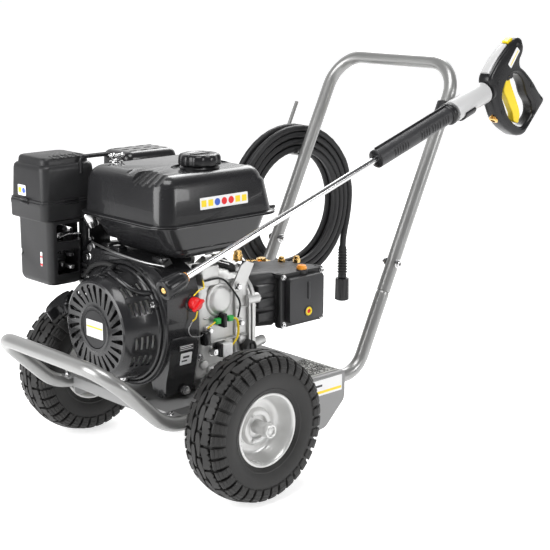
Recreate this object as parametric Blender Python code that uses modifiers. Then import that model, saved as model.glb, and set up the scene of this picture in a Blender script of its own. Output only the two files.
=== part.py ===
"""Petrol pressure washer: tube trolley, engine, plunger pump, trigger gun with lance, and hose.

Metres, +Z up. Inside the model everything is measured from the point on the ground under the
middle of the wheel axle: +X towards the push handle, -Y towards the side the lance rests on.
The root empty then moves the whole machine so that the origin is under the middle of its box.
"""

import math

import bmesh
import bpy
from mathutils import Matrix, Vector

# ---------------------------------------------------------------- driving dimensions
NAME = "pressure_washer"
AXLE_X = -0.28535             # where the axle stands in the finished frame
GAP = 0.0003                  # clearance between touching pieces

WHEEL_R = 0.130               # 260 mm pneumatic wheels
TYRE_WIDTH = 0.085
TRACK = 0.490
AXLE_R = 0.0075
HUB_BORE_R = 0.0079

TUBE_R = 0.0127               # one-inch frame tube
SIDE_Y = 0.161                # side runs and handle legs
RUN_Z = 0.133                 # height of the level side runs
LEG_ANGLE = math.radians(63.9)
LEG_FOOT = (0.3386, RUN_Z)    # where a leg's centre line meets the level run, in X and Z
BUMPER_RISE = math.radians(43.5)
BUMPER_X = -0.240
BUMPER_FOOT_X = -0.1195
SLEEVE_LOW_Z = 0.2780         # lower end of the push handle's sleeves
HANDLE_TOP_Z = 0.6952
SPIGOT_R = 0.0104
SLEEVE_BORE_R = 0.0107
BOLT_Z = 0.3290

DECK_TOP = 0.1490
SHEET = 0.0030
DECK_FRONT = -0.100
DECK_REAR = 0.290
DECK_NARROW_Y = 0.135
DECK_WIDE_Y = 0.1775
DECK_WIDE_FROM = 0.125

CRANK_Z = 0.2740
CRANK_R = 0.0125
SHROUD_X = (-0.075, -0.006)
CASE_X = (-0.0055, 0.1300)
CASE_Y = (-0.100, 0.082)
CASE_Z = (0.1680, 0.3480)
CYLINDER_TILT = math.radians(25.0)
GRIP_X, GRIP_Y, GRIP_Z = -0.120, 0.1130, 0.2860

TANK_X = (-0.088, 0.170)
TANK_Y = (-0.120, 0.116)
TANK_Z = (0.3920, 0.5400)
TANK_SEAM_Z = 0.4600
CAP_XY = (0.050, -0.050)

PUMP_X = (0.2130, 0.3270)
PUMP_Y = (-0.083, 0.040)
PUMP_Z = (0.2230, 0.3270)
OUTLET = (0.2720, PUMP_Y[1] + 0.0406, 0.2800)

LANCE_Y = -0.200
LANCE_ANGLE = math.radians(18.2)
LANCE_TIP = (-0.1560, 0.3790)  # X and Z of the nozzle end of the lance's centre line
GUN_HALF = 0.016
TRIGGER_PIN = (0.7075, 0.6715)
GUN_INLET = ((0.6900, 0.6060), (0.6760, 0.5830))  # X and Z of the hose inlet's two ends
COUPLING_R = 0.0210

HOSE_R = 0.0070
COIL_CENTRE = Vector((0.514, 0.1990, 0.3820))
COIL_R = 0.1440               # middle of the bundle of turns
COIL_HALF_RADIAL = 0.0280
COIL_HALF_WIDE = 0.0205

LEG_DIR = Vector((math.cos(LEG_ANGLE), 0, math.sin(LEG_ANGLE)))
LANCE_DIR = Vector((math.cos(LANCE_ANGLE), 0, math.sin(LANCE_ANGLE)))

# ---------------------------------------------------------------- scene and helpers
for old in list(bpy.data.objects):
    bpy.data.objects.remove(old, do_unlink=True)

PARTS = bpy.data.collections.new(NAME)
CUTTERS = bpy.data.collections.new(NAME + "_cutters")
for collection in (PARTS, CUTTERS):
    bpy.context.scene.collection.children.link(collection)

ROOT = bpy.data.objects.new(NAME + "_root", None)
ROOT.location = (AXLE_X, 0, 0)
PARTS.objects.link(ROOT)

MATERIALS = {}


def material(name, colour, roughness, metallic=0.0):
    """A Principled material, made once for each name."""
    if name not in MATERIALS:
        made = bpy.data.materials.new(name)
        made.use_nodes = True
        shader = made.node_tree.nodes["Principled BSDF"]
        shader.inputs["Base Color"].default_value = (*colour, 1.0)
        shader.inputs["Roughness"].default_value = roughness
        shader.inputs["Metallic"].default_value = metallic
        MATERIALS[name] = made
    return MATERIALS[name]


def frame_paint():
    return material("frame_paint", (0.36, 0.36, 0.36), 0.38, 0.5)


def rim_paint():
    return material("rim_paint", (0.55, 0.55, 0.54), 0.35, 0.4)


def rubber():
    return material("rubber", (0.018, 0.018, 0.018), 0.75)


def black_plastic():
    return material("black_plastic", (0.020, 0.020, 0.021), 0.42)


def black_enamel():
    return material("black_enamel", (0.012, 0.012, 0.013), 0.25)


def cast_aluminium():
    return material("cast_aluminium", (0.62, 0.62, 0.61), 0.42, 0.9)


def pump_black():
    return material("pump_black", (0.030, 0.030, 0.031), 0.45, 0.3)


def steel():
    return material("steel", (0.60, 0.60, 0.60), 0.25, 1.0)


def brass():
    return material("brass", (0.78, 0.52, 0.18), 0.28, 1.0)


def yellow():
    return material("yellow", (0.95, 0.78, 0.02), 0.35)


def adopt(obj, name, finish):
    """Makes the object a named part under the root empty."""
    obj.name = name
    obj.data.name = name
    obj.data.materials.clear()
    obj.data.materials.append(finish)
    for collection in list(obj.users_collection):
        collection.objects.unlink(obj)
    PARTS.objects.link(obj)
    obj.parent = ROOT
    return obj


def as_tool(obj, name):
    """Makes the object a hidden Boolean helper under the root empty."""
    obj.name = name
    for collection in list(obj.users_collection):
        collection.objects.unlink(obj)
    CUTTERS.objects.link(obj)
    obj.parent = ROOT
    obj.hide_render = True
    obj.display_type = "WIRE"
    return obj


def mesh_object(build):
    """An object whose mesh is filled by build(bm)."""
    mesh = bpy.data.meshes.new("shape")
    bm = bmesh.new()
    build(bm)
    bm.to_mesh(mesh)
    bm.free()
    obj = bpy.data.objects.new("shape", mesh)
    bpy.context.scene.collection.objects.link(obj)
    return obj


def box(low, high):
    """A block between two corners, with its origin at its middle."""
    low, high = Vector(low), Vector(high)
    size = high - low

    def build(bm):
        bmesh.ops.create_cube(bm, size=1.0, matrix=Matrix.Diagonal((*size, 1.0)))

    obj = mesh_object(build)
    obj.location = (low + high) / 2
    return obj


def shell_box(low, high, draft_low, draft_high, radius, steps, open_side):
    """A block drafted towards its outer face, all edges rounded but those at its open side."""
    obj = box(low, high)
    far = -open_side
    for vertex in obj.data.vertices:
        if vertex.co.z * far > 0:
            vertex.co.x += draft_low if vertex.co.x < 0 else -draft_high
            vertex.co.y += draft_low if vertex.co.y < 0 else -draft_low
    work = bmesh.new()
    work.from_mesh(obj.data)
    kept = [edge for edge in work.edges if any(end.co.z * far > 0 for end in edge.verts)]
    bmesh.ops.bevel(work, geom=kept, offset=radius, segments=steps, affect="EDGES", profile=0.5)
    work.to_mesh(obj.data)
    work.free()
    return obj


def cylinder(start, end, radius, sides=20, end_radius=None):
    """A round bar between two points, or a cone where the radii differ."""
    start, end = Vector(start), Vector(end)
    span = end - start

    def build(bm):
        bmesh.ops.create_cone(
            bm, cap_ends=True, segments=sides, radius1=radius,
            radius2=radius if end_radius is None else end_radius, depth=span.length)

    obj = mesh_object(build)
    obj.location = (start + end) / 2
    obj.rotation_euler = span.to_track_quat("Z", "Y").to_euler()
    shade_round(obj)
    return obj


def turned(profile, origin, axis, steps=20, closed=False):
    """A Screw around local Z of (radius, height) points that run down the outer side."""
    mesh = bpy.data.meshes.new("profile")
    points = [(r, 0.0, h) for r, h in profile]
    edges = [(i, i + 1) for i in range(len(points) - 1)]
    if closed:
        edges.append((len(points) - 1, 0))
    mesh.from_pydata(points, edges, [])
    obj = bpy.data.objects.new("turned", mesh)
    bpy.context.scene.collection.objects.link(obj)
    screw = obj.modifiers.new("Screw", "SCREW")
    screw.steps = screw.render_steps = steps
    screw.use_merge_vertices = True
    screw.merge_threshold = 0.00001
    screw.use_smooth_shade = True
    obj.location = origin
    obj.rotation_euler = Vector(axis).to_track_quat("Z", "Y").to_euler()
    return obj


def shade_round(obj):
    obj.data.shade_smooth()
    obj.data.set_sharp_from_angle(angle=math.radians(35))


def rounded(corners, radii, turn=math.radians(18)):
    """The corner points joined by straights, with an arc of the given radius at each inner corner."""
    corners = [Vector(c) for c in corners]
    points = [corners[0]]
    for before, corner, after, radius in zip(corners, corners[1:], corners[2:], radii):
        back = (before - corner).normalized()
        ahead = (after - corner).normalized()
        half = back.angle(ahead) / 2
        centre = corner + (back + ahead).normalized() * radius / math.sin(half)
        first = corner + back * radius / math.tan(half) - centre
        last = corner + ahead * radius / math.tan(half) - centre
        count = max(2, round(first.angle(last) / turn))
        for step in range(count + 1):
            points.append(centre + first.normalized().slerp(last.normalized(), step / count) * radius)
    points.append(corners[-1])
    return points


def tube(points, radius, thickness=None, resolution=4):
    """A round bar along the points; thickness holds each point's share of the radius."""
    curve = bpy.data.curves.new("tube", "CURVE")
    curve.dimensions = "3D"
    curve.bevel_depth = radius
    curve.bevel_resolution = resolution
    curve.use_fill_caps = True
    spline = curve.splines.new("POLY")
    spline.points.add(len(points) - 1)
    for index, point in enumerate(points):
        spline.points[index].co = (*point, 1.0)
        if thickness:
            spline.points[index].radius = thickness[index]
    obj = bpy.data.objects.new("tube", curve)
    bpy.context.scene.collection.objects.link(obj)
    return obj


def outline_curve(outline, half):
    """A flat outline in X and Z, given a thickness of twice half along Y."""
    curve = bpy.data.curves.new("outline", "CURVE")
    curve.dimensions = "2D"
    curve.fill_mode = "BOTH"
    curve.extrude = half
    spline = curve.splines.new("POLY")
    spline.points.add(len(outline) - 1)
    for index, (x, z) in enumerate(outline):
        spline.points[index].co = (x, z, 0.0, 1.0)
    spline.use_cyclic_u = True
    obj = bpy.data.objects.new("outline", curve)
    obj.rotation_euler = (math.pi / 2, 0, 0)
    bpy.context.scene.collection.objects.link(obj)
    return obj


def to_mesh(obj):
    """The curve object's evaluated shape as a mesh object in the same place."""
    bpy.context.view_layer.update()
    graph = bpy.context.evaluated_depsgraph_get()
    mesh = bpy.data.meshes.new_from_object(obj.evaluated_get(graph))
    bm = bmesh.new()
    bm.from_mesh(mesh)
    bmesh.ops.remove_doubles(bm, verts=bm.verts, dist=0.00001)
    bmesh.ops.recalc_face_normals(bm, faces=bm.faces)
    bm.to_mesh(mesh)
    bm.free()
    made = bpy.data.objects.new("mesh", mesh)
    made.matrix_world = obj.matrix_world
    bpy.context.scene.collection.objects.link(made)
    bpy.data.objects.remove(obj, do_unlink=True)
    shade_round(made)
    return made


def slab(outline, y, half):
    """A plate with an X and Z outline, its middle at y."""
    obj = to_mesh(outline_curve(outline, half))
    obj.location.y = y
    return obj


def cross_slab(outline, x, half):
    """A plate with a Y and Z outline, its middle at x."""
    obj = to_mesh(outline_curve([(-y, z) for y, z in outline], half))
    obj.rotation_euler = (math.pi / 2, 0, -math.pi / 2)
    obj.location.x = x
    return obj


def bevel(obj, width, segments=1, angle=math.radians(30)):
    made = obj.modifiers.new("Bevel", "BEVEL")
    made.width = width
    made.segments = segments
    made.limit_method = "ANGLE"
    made.angle_limit = angle
    made.use_clamp_overlap = True
    return obj


def boolean(obj, tool, operation):
    made = obj.modifiers.new("Boolean", "BOOLEAN")
    made.operation = operation
    made.solver = "EXACT"
    made.object = as_tool(tool, obj.name + "_tool")
    return obj


def cut(obj, *tools):
    for tool in tools:
        boolean(obj, tool, "DIFFERENCE")
    return obj


def join(obj, *tools):
    for tool in tools:
        boolean(obj, tool, "UNION")
    return obj


def arc(centre_a, centre_b, radius, start, end, count):
    """Points of a flat arc, from start to end in degrees."""
    span = math.radians(end - start)
    first = math.radians(start)
    angles = [first + span * i / count for i in range(count + 1)]
    return [(centre_a + radius * math.cos(a), centre_b + radius * math.sin(a)) for a in angles]


def leg_point(z, side):
    """The point of a handle leg's centre line at height z; side is -1 near, +1 far."""
    x = LEG_FOOT[0] + (z - LEG_FOOT[1]) / math.tan(LEG_ANGLE)
    return Vector((x, side * SIDE_Y, z))


def lance_point(along, lift=0.0):
    """A point of the lance's centre line, this far from its nozzle end."""
    across = Vector((-LANCE_DIR.z, 0, LANCE_DIR.x))
    return Vector((LANCE_TIP[0], LANCE_Y, LANCE_TIP[1])) + LANCE_DIR * along + across * lift


# ---------------------------------------------------------------- trolley
def chassis_tube():
    """One bent tube: bumper bar, both side runs and the two spigots that hold the push handle."""
    rise = math.tan(BUMPER_RISE) * (BUMPER_FOOT_X - BUMPER_X)
    end = leg_point(SLEEVE_LOW_Z + 0.085, -1)
    half = [
        end,
        (LEG_FOOT[0], -SIDE_Y, RUN_Z),
        (BUMPER_FOOT_X, -SIDE_Y, RUN_Z),
        (BUMPER_X, -SIDE_Y, RUN_Z + rise),
    ]
    other = [(x, -y, z) for x, y, z in reversed(half)]
    path = rounded(half + other, (0.055, 0.090, 0.056, 0.056, 0.090, 0.055))
    swage = SPIGOT_R / TUBE_R
    shoulder = [(leg_point(SLEEVE_LOW_Z - GAP, -1), swage), (leg_point(SLEEVE_LOW_Z - 0.006, -1), 1.0)]
    start = [(path[0], swage)] + shoulder
    finish = [(Vector((p.x, -p.y, p.z)), share) for p, share in reversed(start)]
    stations = start + [(p, 1.0) for p in path[1:-1]] + finish
    obj = to_mesh(tube([p for p, _ in stations], TUBE_R, [share for _, share in stations]))
    adopt(obj, "chassis_tube", frame_paint())
    cut(obj, cylinder((0, -0.2, WHEEL_R), (0, 0.2, WHEEL_R), AXLE_R + GAP, 20))
    bolt = leg_point(BOLT_Z, 1)
    cut(obj, cylinder((bolt.x, -0.2, BOLT_Z), (bolt.x, 0.2, BOLT_Z), 0.0044, 16))


def platform():
    """Folded sheet deck: a channel between the side runs, wider at the rear, with two side plates."""
    deck_low = DECK_TOP - SHEET
    deck = box((DECK_FRONT, -DECK_NARROW_Y, deck_low), (DECK_REAR, DECK_NARROW_Y, DECK_TOP))
    adopt(deck, "platform", frame_paint())
    join(deck, box((DECK_WIDE_FROM, -DECK_WIDE_Y, deck_low), (DECK_REAR, DECK_WIDE_Y, DECK_TOP)))
    join(deck, box((DECK_FRONT, -DECK_NARROW_Y, 0.129), (DECK_FRONT + SHEET, DECK_NARROW_Y, DECK_TOP)))
    join(deck, box((DECK_REAR - SHEET, -0.140, 0.118), (DECK_REAR, 0.140, DECK_TOP)))
    plate = [
        (DECK_WIDE_FROM, DECK_TOP), (DECK_REAR, DECK_TOP), (DECK_REAR, 0.096), (0.240, 0.050),
        (0.1960, 0.044), (0.1800, 0.010), (0.1420, 0.010), (0.1350, 0.060), (DECK_WIDE_FROM, 0.090),
    ]
    for side in (-1, 1):
        inner = DECK_NARROW_Y - SHEET
        low, high = sorted((side * inner, side * DECK_NARROW_Y))
        join(deck, box((DECK_FRONT, low, 0.112), (DECK_REAR - 0.05, high, DECK_TOP)))
        join(deck, slab(plate, side * (DECK_WIDE_Y - SHEET / 2), SHEET / 2))
    cut(deck, cylinder((0, -0.2, WHEEL_R), (0, 0.2, WHEEL_R), AXLE_R + GAP, 20))


def step_mat():
    """Anti-slip pad on the near rear corner of the deck."""
    pad = box((0.168, -0.166, DECK_TOP + GAP), (0.284, -0.078, DECK_TOP + 0.0016))
    adopt(pad, "step_mat", material("step_mat", (0.30, 0.30, 0.30), 0.9))


def stand_feet():
    """Rubber shoes pushed over the lower edges of the side plates."""
    for side, name in ((-1, "left"), (1, "right")):
        y = side * (DECK_WIDE_Y - SHEET / 2)
        shoe = bevel(box((0.136, y - 0.010, 0.0), (0.185, y + 0.010, 0.020)), 0.002)
        adopt(shoe, "stand_foot_" + name, rubber())
        slot = SHEET / 2 + GAP
        cut(shoe, box((0.130, y - slot, 0.010 - GAP), (0.192, y + slot, 0.030)))


def axle():
    reach = TRACK / 2 + 0.034
    rod = cylinder((0, -reach, WHEEL_R), (0, reach, WHEEL_R), AXLE_R, 20)
    adopt(rod, "axle", steel())


def wheels():
    """Pneumatic tyre on a pressed steel rim, one each side, turning on the axle."""
    rim = [
        (0.0632, 0.0340), (0.0585, 0.0285), (0.0575, 0.0180), (0.0520, 0.0120),
        (0.0520, -0.0120), (0.0575, -0.0180), (0.0585, -0.0285), (0.0632, -0.0340),
        (0.0605, -0.0340), (0.0555, -0.0270), (0.0545, -0.0160), (0.0495, -0.0105),
        (0.0490, -0.0010), (0.0135, -0.0030), (0.0135, -0.0360), (HUB_BORE_R, -0.0360),
        (HUB_BORE_R, 0.0320), (0.0115, 0.0320), (0.0120, 0.0060), (0.0300, 0.0100),
        (0.0440, 0.0070), (0.0490, 0.0105), (0.0545, 0.0160), (0.0555, 0.0270), (0.0605, 0.0340),
    ]
    half = TYRE_WIDTH / 2
    outer = [
        (0.0640, 0.0350), (0.0750, half - 0.0035), (0.0930, half), (0.1100, half - 0.0025),
        (0.1215, half - 0.0080), (WHEEL_R, 0.0160),
    ]
    inner = [(0.0700, 0.0290), (0.0920, half - 0.0075), (0.1150, half - 0.0140)]
    bead = [(0.0590, 0.0280), (0.0636, 0.0290)]
    loop = bead + outer
    loop += [(r, -h) for r, h in reversed(loop)]
    loop += [(0.0590, -0.0200), (0.0680, -0.0210)]
    loop += [(r, -h) for r, h in inner] + inner[::-1] + [(0.0680, 0.0210), (0.0590, 0.0200)]
    for side, name in ((-1, "left"), (1, "right")):
        centre = (0, side * TRACK / 2, WHEEL_R)
        axis = (0, side, 0)
        adopt(turned(rim, centre, axis, 20, closed=True), "rim_" + name, rim_paint())
        adopt(turned(loop, centre, axis, 24, closed=True), "tyre_" + name, rubber())
        outside = TRACK / 2 + 0.0325
        cap = [(0.0, 0.0095), (0.0080, 0.0090), (0.0105, 0.0060), (0.0110, 0.0), (0.0078, 0.0),
               (0.0078, 0.0035), (0.0, 0.0035)]
        adopt(turned(cap, (0, side * outside, WHEEL_R), axis, 20), "axle_cap_" + name, steel())


def push_handle():
    """Bent tube whose lower ends are sleeves over the chassis tube's spigots."""
    ends = [leg_point(SLEEVE_LOW_Z, side) for side in (-1, 1)]
    tops = [leg_point(HANDLE_TOP_Z, side) for side in (-1, 1)]
    path = rounded([ends[0], tops[0], tops[1], ends[1]], (0.068, 0.068))
    obj = to_mesh(tube(path, TUBE_R))
    adopt(obj, "push_handle", frame_paint())
    for end in ends:
        cut(obj, cylinder(end - LEG_DIR * 0.01, end + LEG_DIR * 0.100, SLEEVE_BORE_R, 24))
    bolt = leg_point(BOLT_Z, 1)
    cut(obj, cylinder((bolt.x, -0.2, BOLT_Z), (bolt.x, 0.2, BOLT_Z), 0.0044, 16))


def handle_bolts():
    """Screws through both tubes, head outside and nut inside."""
    seat = TUBE_R + 0.0008
    bolt = [
        (0.0, seat + 0.0062), (0.0060, seat + 0.0062), (0.0072, seat + 0.0050), (0.0072, seat + 0.0012),
        (0.0092, seat + 0.0012), (0.0092, seat), (0.0040, seat), (0.0040, -seat),
        (0.0092, -seat), (0.0092, -seat - 0.0012), (0.0072, -seat - 0.0012),
        (0.0072, -seat - 0.0080), (0.0, -seat - 0.0080),
    ]
    for side, name in ((-1, "left"), (1, "right")):
        centre = leg_point(BOLT_Z, side)
        adopt(turned(bolt, centre, (0, side, 0), 12), "handle_bolt_" + name, steel())


def hose_hook():
    """Round rod welded to the far leg: out sideways, then up along the leg's slope."""
    rod_r = 0.0040
    z = COIL_CENTRE.z + COIL_R - COIL_HALF_RADIAL - rod_r - 0.0004
    leg = leg_point(z, 1)
    corner = Vector((COIL_CENTRE.x + 0.004, 0.2400, z))
    start = Vector((leg.x, leg.y + TUBE_R + GAP, z))
    path = rounded([start, corner, corner + LEG_DIR * 0.112], (0.010,), math.radians(22))
    adopt(tube(path, rod_r, resolution=2), "hose_hook", frame_paint())


def lance_holder():
    """Plastic cradle on the near leg: a band round the tube and a trough under the coupling nut."""
    crossing = lance_point(0.7717)
    foot = leg_point(crossing.z - 0.012, -1)
    band = cylinder(foot - LEG_DIR * 0.016, foot + LEG_DIR * 0.016, 0.0172, 20)
    adopt(band, "lance_holder", black_plastic())
    trough = box((-0.0200, -0.0260, -0.0280), (0.0200, 0.0240, 0.0))
    trough.data.transform(Matrix.Translation(trough.location))
    trough.location = crossing
    trough.rotation_euler = (0, -LANCE_ANGLE, 0)
    join(band, bevel(trough, 0.0015))
    cut(band, cylinder(lance_point(0.72), lance_point(0.86), COUPLING_R + GAP, 24))
    cut(band, cylinder(foot - LEG_DIR * 0.05, foot + LEG_DIR * 0.05, TUBE_R + GAP, 20))


# ---------------------------------------------------------------- engine
def crankcase():
    """Cast block on four feet, with the crankshaft's bore right through."""
    block = bevel(box((CASE_X[0], CASE_Y[0], CASE_Z[0]), (CASE_X[1], 0.036, CASE_Z[1])), 0.014, 3)
    adopt(block, "crankcase", cast_aluminium())
    sump = box((CASE_X[0] + 0.002, -0.040, CASE_Z[0] + 0.001), (CASE_X[1] - 0.002, CASE_Y[1], 0.246))
    join(block, bevel(sump, 0.008))
    join(block, box((0.008, CASE_Y[0] - 0.016, DECK_TOP + GAP), (0.118, CASE_Y[1] + 0.016, 0.172)))
    deck = cylinder_place(0.070)
    join(block, cylinder(cylinder_place(0.020), deck, 0.056, 28))
    cut(block, cylinder((-0.1, 0, CRANK_Z), (0.2, 0, CRANK_Z), CRANK_R + GAP, 24))


def cylinder_place(along, x=0.066):
    """A point of the cylinder's axis, which leans over the far side."""
    return Vector((x, math.cos(CYLINDER_TILT) * along, CRANK_Z + math.sin(CYLINDER_TILT) * along))


def cylinder_head():
    head = cylinder(cylinder_place(0.070 + GAP), cylinder_place(0.152), 0.058, 28)
    adopt(head, "cylinder_head", cast_aluminium())


def rocker_cover():
    start, end = cylinder_place(0.152 + GAP), cylinder_place(0.185)
    cover = box((-0.046, -0.046, -0.0163), (0.046, 0.046, 0.0163))
    cover.location = (start + end) / 2
    cover.rotation_euler = (end - start).to_track_quat("Z", "X").to_euler()
    adopt(bevel(cover, 0.010, 3), "rocker_cover", black_enamel())


def fan_shroud():
    """Blower housing: round at the flywheel, with a shoulder that turns the air to the cylinder."""
    low, high = SHROUD_X
    outline = arc(0.0, CRANK_Z, 0.112, 172, 372, 18) + [
        (0.1130, 0.3300), (0.1020, 0.3720), (0.0700, 0.3860), (-0.0700, 0.3860), (-0.1000, 0.3720),
        (-0.1110, 0.3400),
    ]
    shell = cross_slab(outline, (low + high) / 2, (high - low) / 2)
    adopt(shell, "fan_shroud", black_enamel())
    bevel(shell, 0.008, 2)
    cut(shell, cylinder((low - 0.01, 0, CRANK_Z), (high - 0.003, 0, CRANK_Z), 0.0960, 28))
    cut(shell, cylinder((low, 0, CRANK_Z), (high + 0.01, 0, CRANK_Z), 0.030, 24))


def recoil_cover():
    """Pressed cover over the starter, open towards the flywheel."""
    back = SHROUD_X[0] - GAP
    depth = 0.0708
    wall = 0.0030
    profile = [
        (0.0, depth), (0.0770, depth), (0.0860, depth - 0.0040), (0.0930, depth - 0.0140),
        (0.0960, 0.0120), (0.1000, 0.0080), (0.1020, 0.0), (0.0930, 0.0),
        (0.0930, 0.0100), (0.0900, depth - 0.0160), (0.0840, depth - 0.0070),
        (0.0760, depth - wall), (0.0, depth - wall),
    ]
    cover = turned(profile, (back, 0, CRANK_Z), (-1, 0, 0), 28)
    adopt(cover, "recoil_cover", black_enamel())
    cut(cover, cylinder((GRIP_X, 0.06, GRIP_Z), (GRIP_X, 0.12, GRIP_Z), 0.0030, 12))


def starter():
    """Pulley, its rope and the pull grip."""
    pulley = [(0.0, 0.010), (0.0420, 0.010), (0.0420, 0.0085), (0.0400, 0.0070), (0.0400, 0.0030),
              (0.0420, 0.0015), (0.0420, 0.0), (0.0, 0.0)]
    made = turned(pulley, (-0.1000, 0, CRANK_Z), (-1, 0, 0), 20)
    adopt(made, "starter_pulley", black_plastic())
    rope = cylinder((GRIP_X, -0.0700, GRIP_Z), (GRIP_X, GRIP_Y - GAP, GRIP_Z), 0.0020, 10)
    adopt(rope, "starter_rope", material("rope", (0.05, 0.05, 0.05), 0.9))
    grip = [(0.0, 0.0380), (0.0090, 0.0370), (0.0130, 0.0300), (0.0110, 0.0220), (0.0080, 0.0100),
            (0.0060, 0.0), (0.0, 0.0)]
    made = turned(grip, (GRIP_X, GRIP_Y, GRIP_Z), (0, 1, 0), 16)
    adopt(made, "starter_grip", black_plastic())
    bar_y = GRIP_Y + 0.0270
    dx, dz = 0.0277, 0.0160
    low = (GRIP_X - dx, bar_y, GRIP_Z - dz)
    high = (GRIP_X + dx, bar_y, GRIP_Z + dz)
    join(made, cylinder(low, high, 0.0105, 16))


def flywheel():
    """Fan and flywheel fixed on the crankshaft, with the starter cup in front."""
    disc = [
        (0.0130, 0.0700), (0.0360, 0.0680), (0.0360, 0.0460), (0.0780, 0.0440),
        (0.0880, 0.0400), (0.0900, 0.0080), (0.0840, 0.0040), (0.0130, 0.0040),
    ]
    made = turned(disc, (-0.0180, 0, CRANK_Z), (-1, 0, 0), 24, closed=True)
    adopt(made, "flywheel", cast_aluminium())


def crankshaft():
    """Straight shaft from the starter cup through the case into the pump."""
    shaft = [(0.0, 0.0), (CRANK_R - 0.001, 0.0), (CRANK_R, -0.001), (CRANK_R, -0.2990),
             (CRANK_R - 0.001, -0.3000), (0.0, -0.3000)]
    made = turned(shaft, (-0.0850, 0, CRANK_Z), (-1, 0, 0), 24)
    adopt(made, "crankshaft", steel())


def fuel_tank():
    """Two pressed shells meeting at a seam flange, hollow, with a filler neck."""
    wall = 0.0040
    x0, x1 = TANK_X
    y0, y1 = TANK_Y
    rim = TANK_SEAM_Z
    flange = box((x0 - 0.008, y0 - 0.008, rim - 0.004), (x1 + 0.008, y1 + 0.008, rim))
    tank = bevel(flange, 0.024, 3, math.radians(60))
    adopt(tank, "fuel_tank", black_enamel())
    for inset, operate in ((0.0, join), (wall, cut)):
        upper = shell_box((x0 + inset, y0 + inset, rim - 0.002),
                          (x1 - inset, y1 - inset, TANK_Z[1] - inset),
                          0.004, 0.020, 0.026 - inset, 3, -1)
        lower = shell_box((x0 + 0.008 + inset, y0 + 0.008 + inset, TANK_Z[0] + inset),
                          (x1 - 0.006 - inset, y1 - 0.008 - inset, rim - 0.001),
                          0.008, 0.014, 0.020 - inset, 2, 1)
        operate(tank, upper, lower)
    cx, cy = CAP_XY
    join(tank, cylinder((cx, cy, TANK_Z[1] - 0.002), (cx, cy, TANK_Z[1] + 0.004), 0.030, 28))
    cut(tank, cylinder((cx, cy, TANK_Z[1] - 0.020), (cx, cy, TANK_Z[1] + 0.010), 0.0240, 24))


def fuel_cap():
    """Lobed cap over the filler neck."""
    top = TANK_Z[1] + 0.0250
    seat = TANK_Z[1] + 0.0043
    cap = [(0.0, top), (0.0300, top), (0.0350, top - 0.003), (0.0375, top - 0.008), (0.0375, seat),
           (0.0200, seat), (0.0200, seat - 0.008), (0.0, seat - 0.008)]
    made = turned(cap, (*CAP_XY, 0), (0, 0, 1), 24)
    adopt(made, "fuel_cap", black_plastic())


def air_filter():
    """Filter housing on the carburettor's intake, its lift-off lid, and the control cover below."""
    base = bevel(box((-0.154, 0.130, 0.4400), (-0.034, 0.242, 0.4720)), 0.010, 3)
    adopt(base, "air_filter_base", black_plastic())
    cut(base, box((-0.150, 0.134, 0.4440), (-0.038, 0.238, 0.4800)))
    join(base, cylinder((-0.094, 0.186, 0.4420), (-0.094, 0.186, 0.4680), 0.0100, 16))
    lid = bevel(box((-0.151, 0.133, 0.4723), (-0.037, 0.239, 0.5380)), 0.014, 3)
    adopt(lid, "air_filter_cover", black_plastic())
    join(lid, bevel(box((-0.145, 0.139, 0.5300), (-0.043, 0.233, 0.5510)), 0.008, 2))
    cut(lid, box((-0.147, 0.137, 0.4650), (-0.041, 0.235, 0.5260)))
    cover = bevel(box((-0.142, 0.132, 0.3220), (-0.070, 0.234, 0.4397)), 0.008, 2)
    adopt(cover, "control_cover", black_plastic())
    cut(cover, box((-0.1380, 0.1380, 0.3300), (-0.0600, 0.2280, 0.4320)))
    cut(cover, box((-0.1240, 0.1200, 0.3400), (-0.0800, 0.1500, 0.3900)))
    cut(cover, box((-0.1240, 0.1200, 0.4000), (-0.0600, 0.1500, 0.4340)))


def carburettor():
    """Carburettor in the control cover's shelter, with its float bowl and the duct to the head."""
    body = bevel(box((-0.1200, 0.1600, 0.3700), (-0.0600, 0.2000, 0.4200)), 0.004)
    adopt(body, "carburettor", cast_aluminium())
    join(body, cylinder((-0.100, 0.180, 0.3400), (-0.100, 0.180, 0.3800), 0.0180, 20))
    join(body, cylinder((-0.070, 0.180, 0.3950), (0.0, 0.168, 0.3750), 0.0140, 20))


def control_levers():
    """Choke and fuel valve levers in the cover's near window, and the throttle lever by the tank."""
    for name, z in (("choke_lever", 0.3780), ("fuel_valve_lever", 0.3560)):
        lever = bevel(box((-0.0040, -0.0340, -0.0030), (0.0040, 0.0015, 0.0030)), 0.0012)
        adopt(lever, name, black_plastic())
        lever.data.transform(Matrix.Translation(lever.location))
        lever.location = (-0.1020, 0.1560, z)
    arm = bevel(box((-0.0030, -0.0025, -0.0040), (0.0030, 0.0025, 0.0440)), 0.0012)
    adopt(arm, "throttle_lever", steel())
    arm.data.transform(Matrix.Translation(arm.location))
    arm.location = (-0.0600, 0.1255, 0.4010)


def muffler():
    """Silencer behind the tank, and its slotted heat shield."""
    wall = 0.0025
    can = bevel(box((0.0370, 0.1340, 0.4200), (0.1450, 0.2080, 0.5320)), 0.018, 3)
    adopt(can, "muffler", steel())
    cut(can, bevel(box((0.0370 + wall, 0.1340 + wall, 0.4200 + wall),
                       (0.1450 - wall, 0.2080 - wall, 0.5320 - wall)), 0.016, 2))
    cut(can, cylinder((0.1400, 0.1710, 0.4600), (0.1500, 0.1710, 0.4600), 0.0110, 20))
    shield = bevel(box((0.0300, 0.1280, 0.4400), (0.1520, 0.2160, 0.5460)), 0.014, 3)
    adopt(shield, "muffler_shield", black_enamel())
    cut(shield, bevel(box((0.0340, 0.1310, 0.4000), (0.1480, 0.2120, 0.5400)), 0.012, 2))


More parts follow.
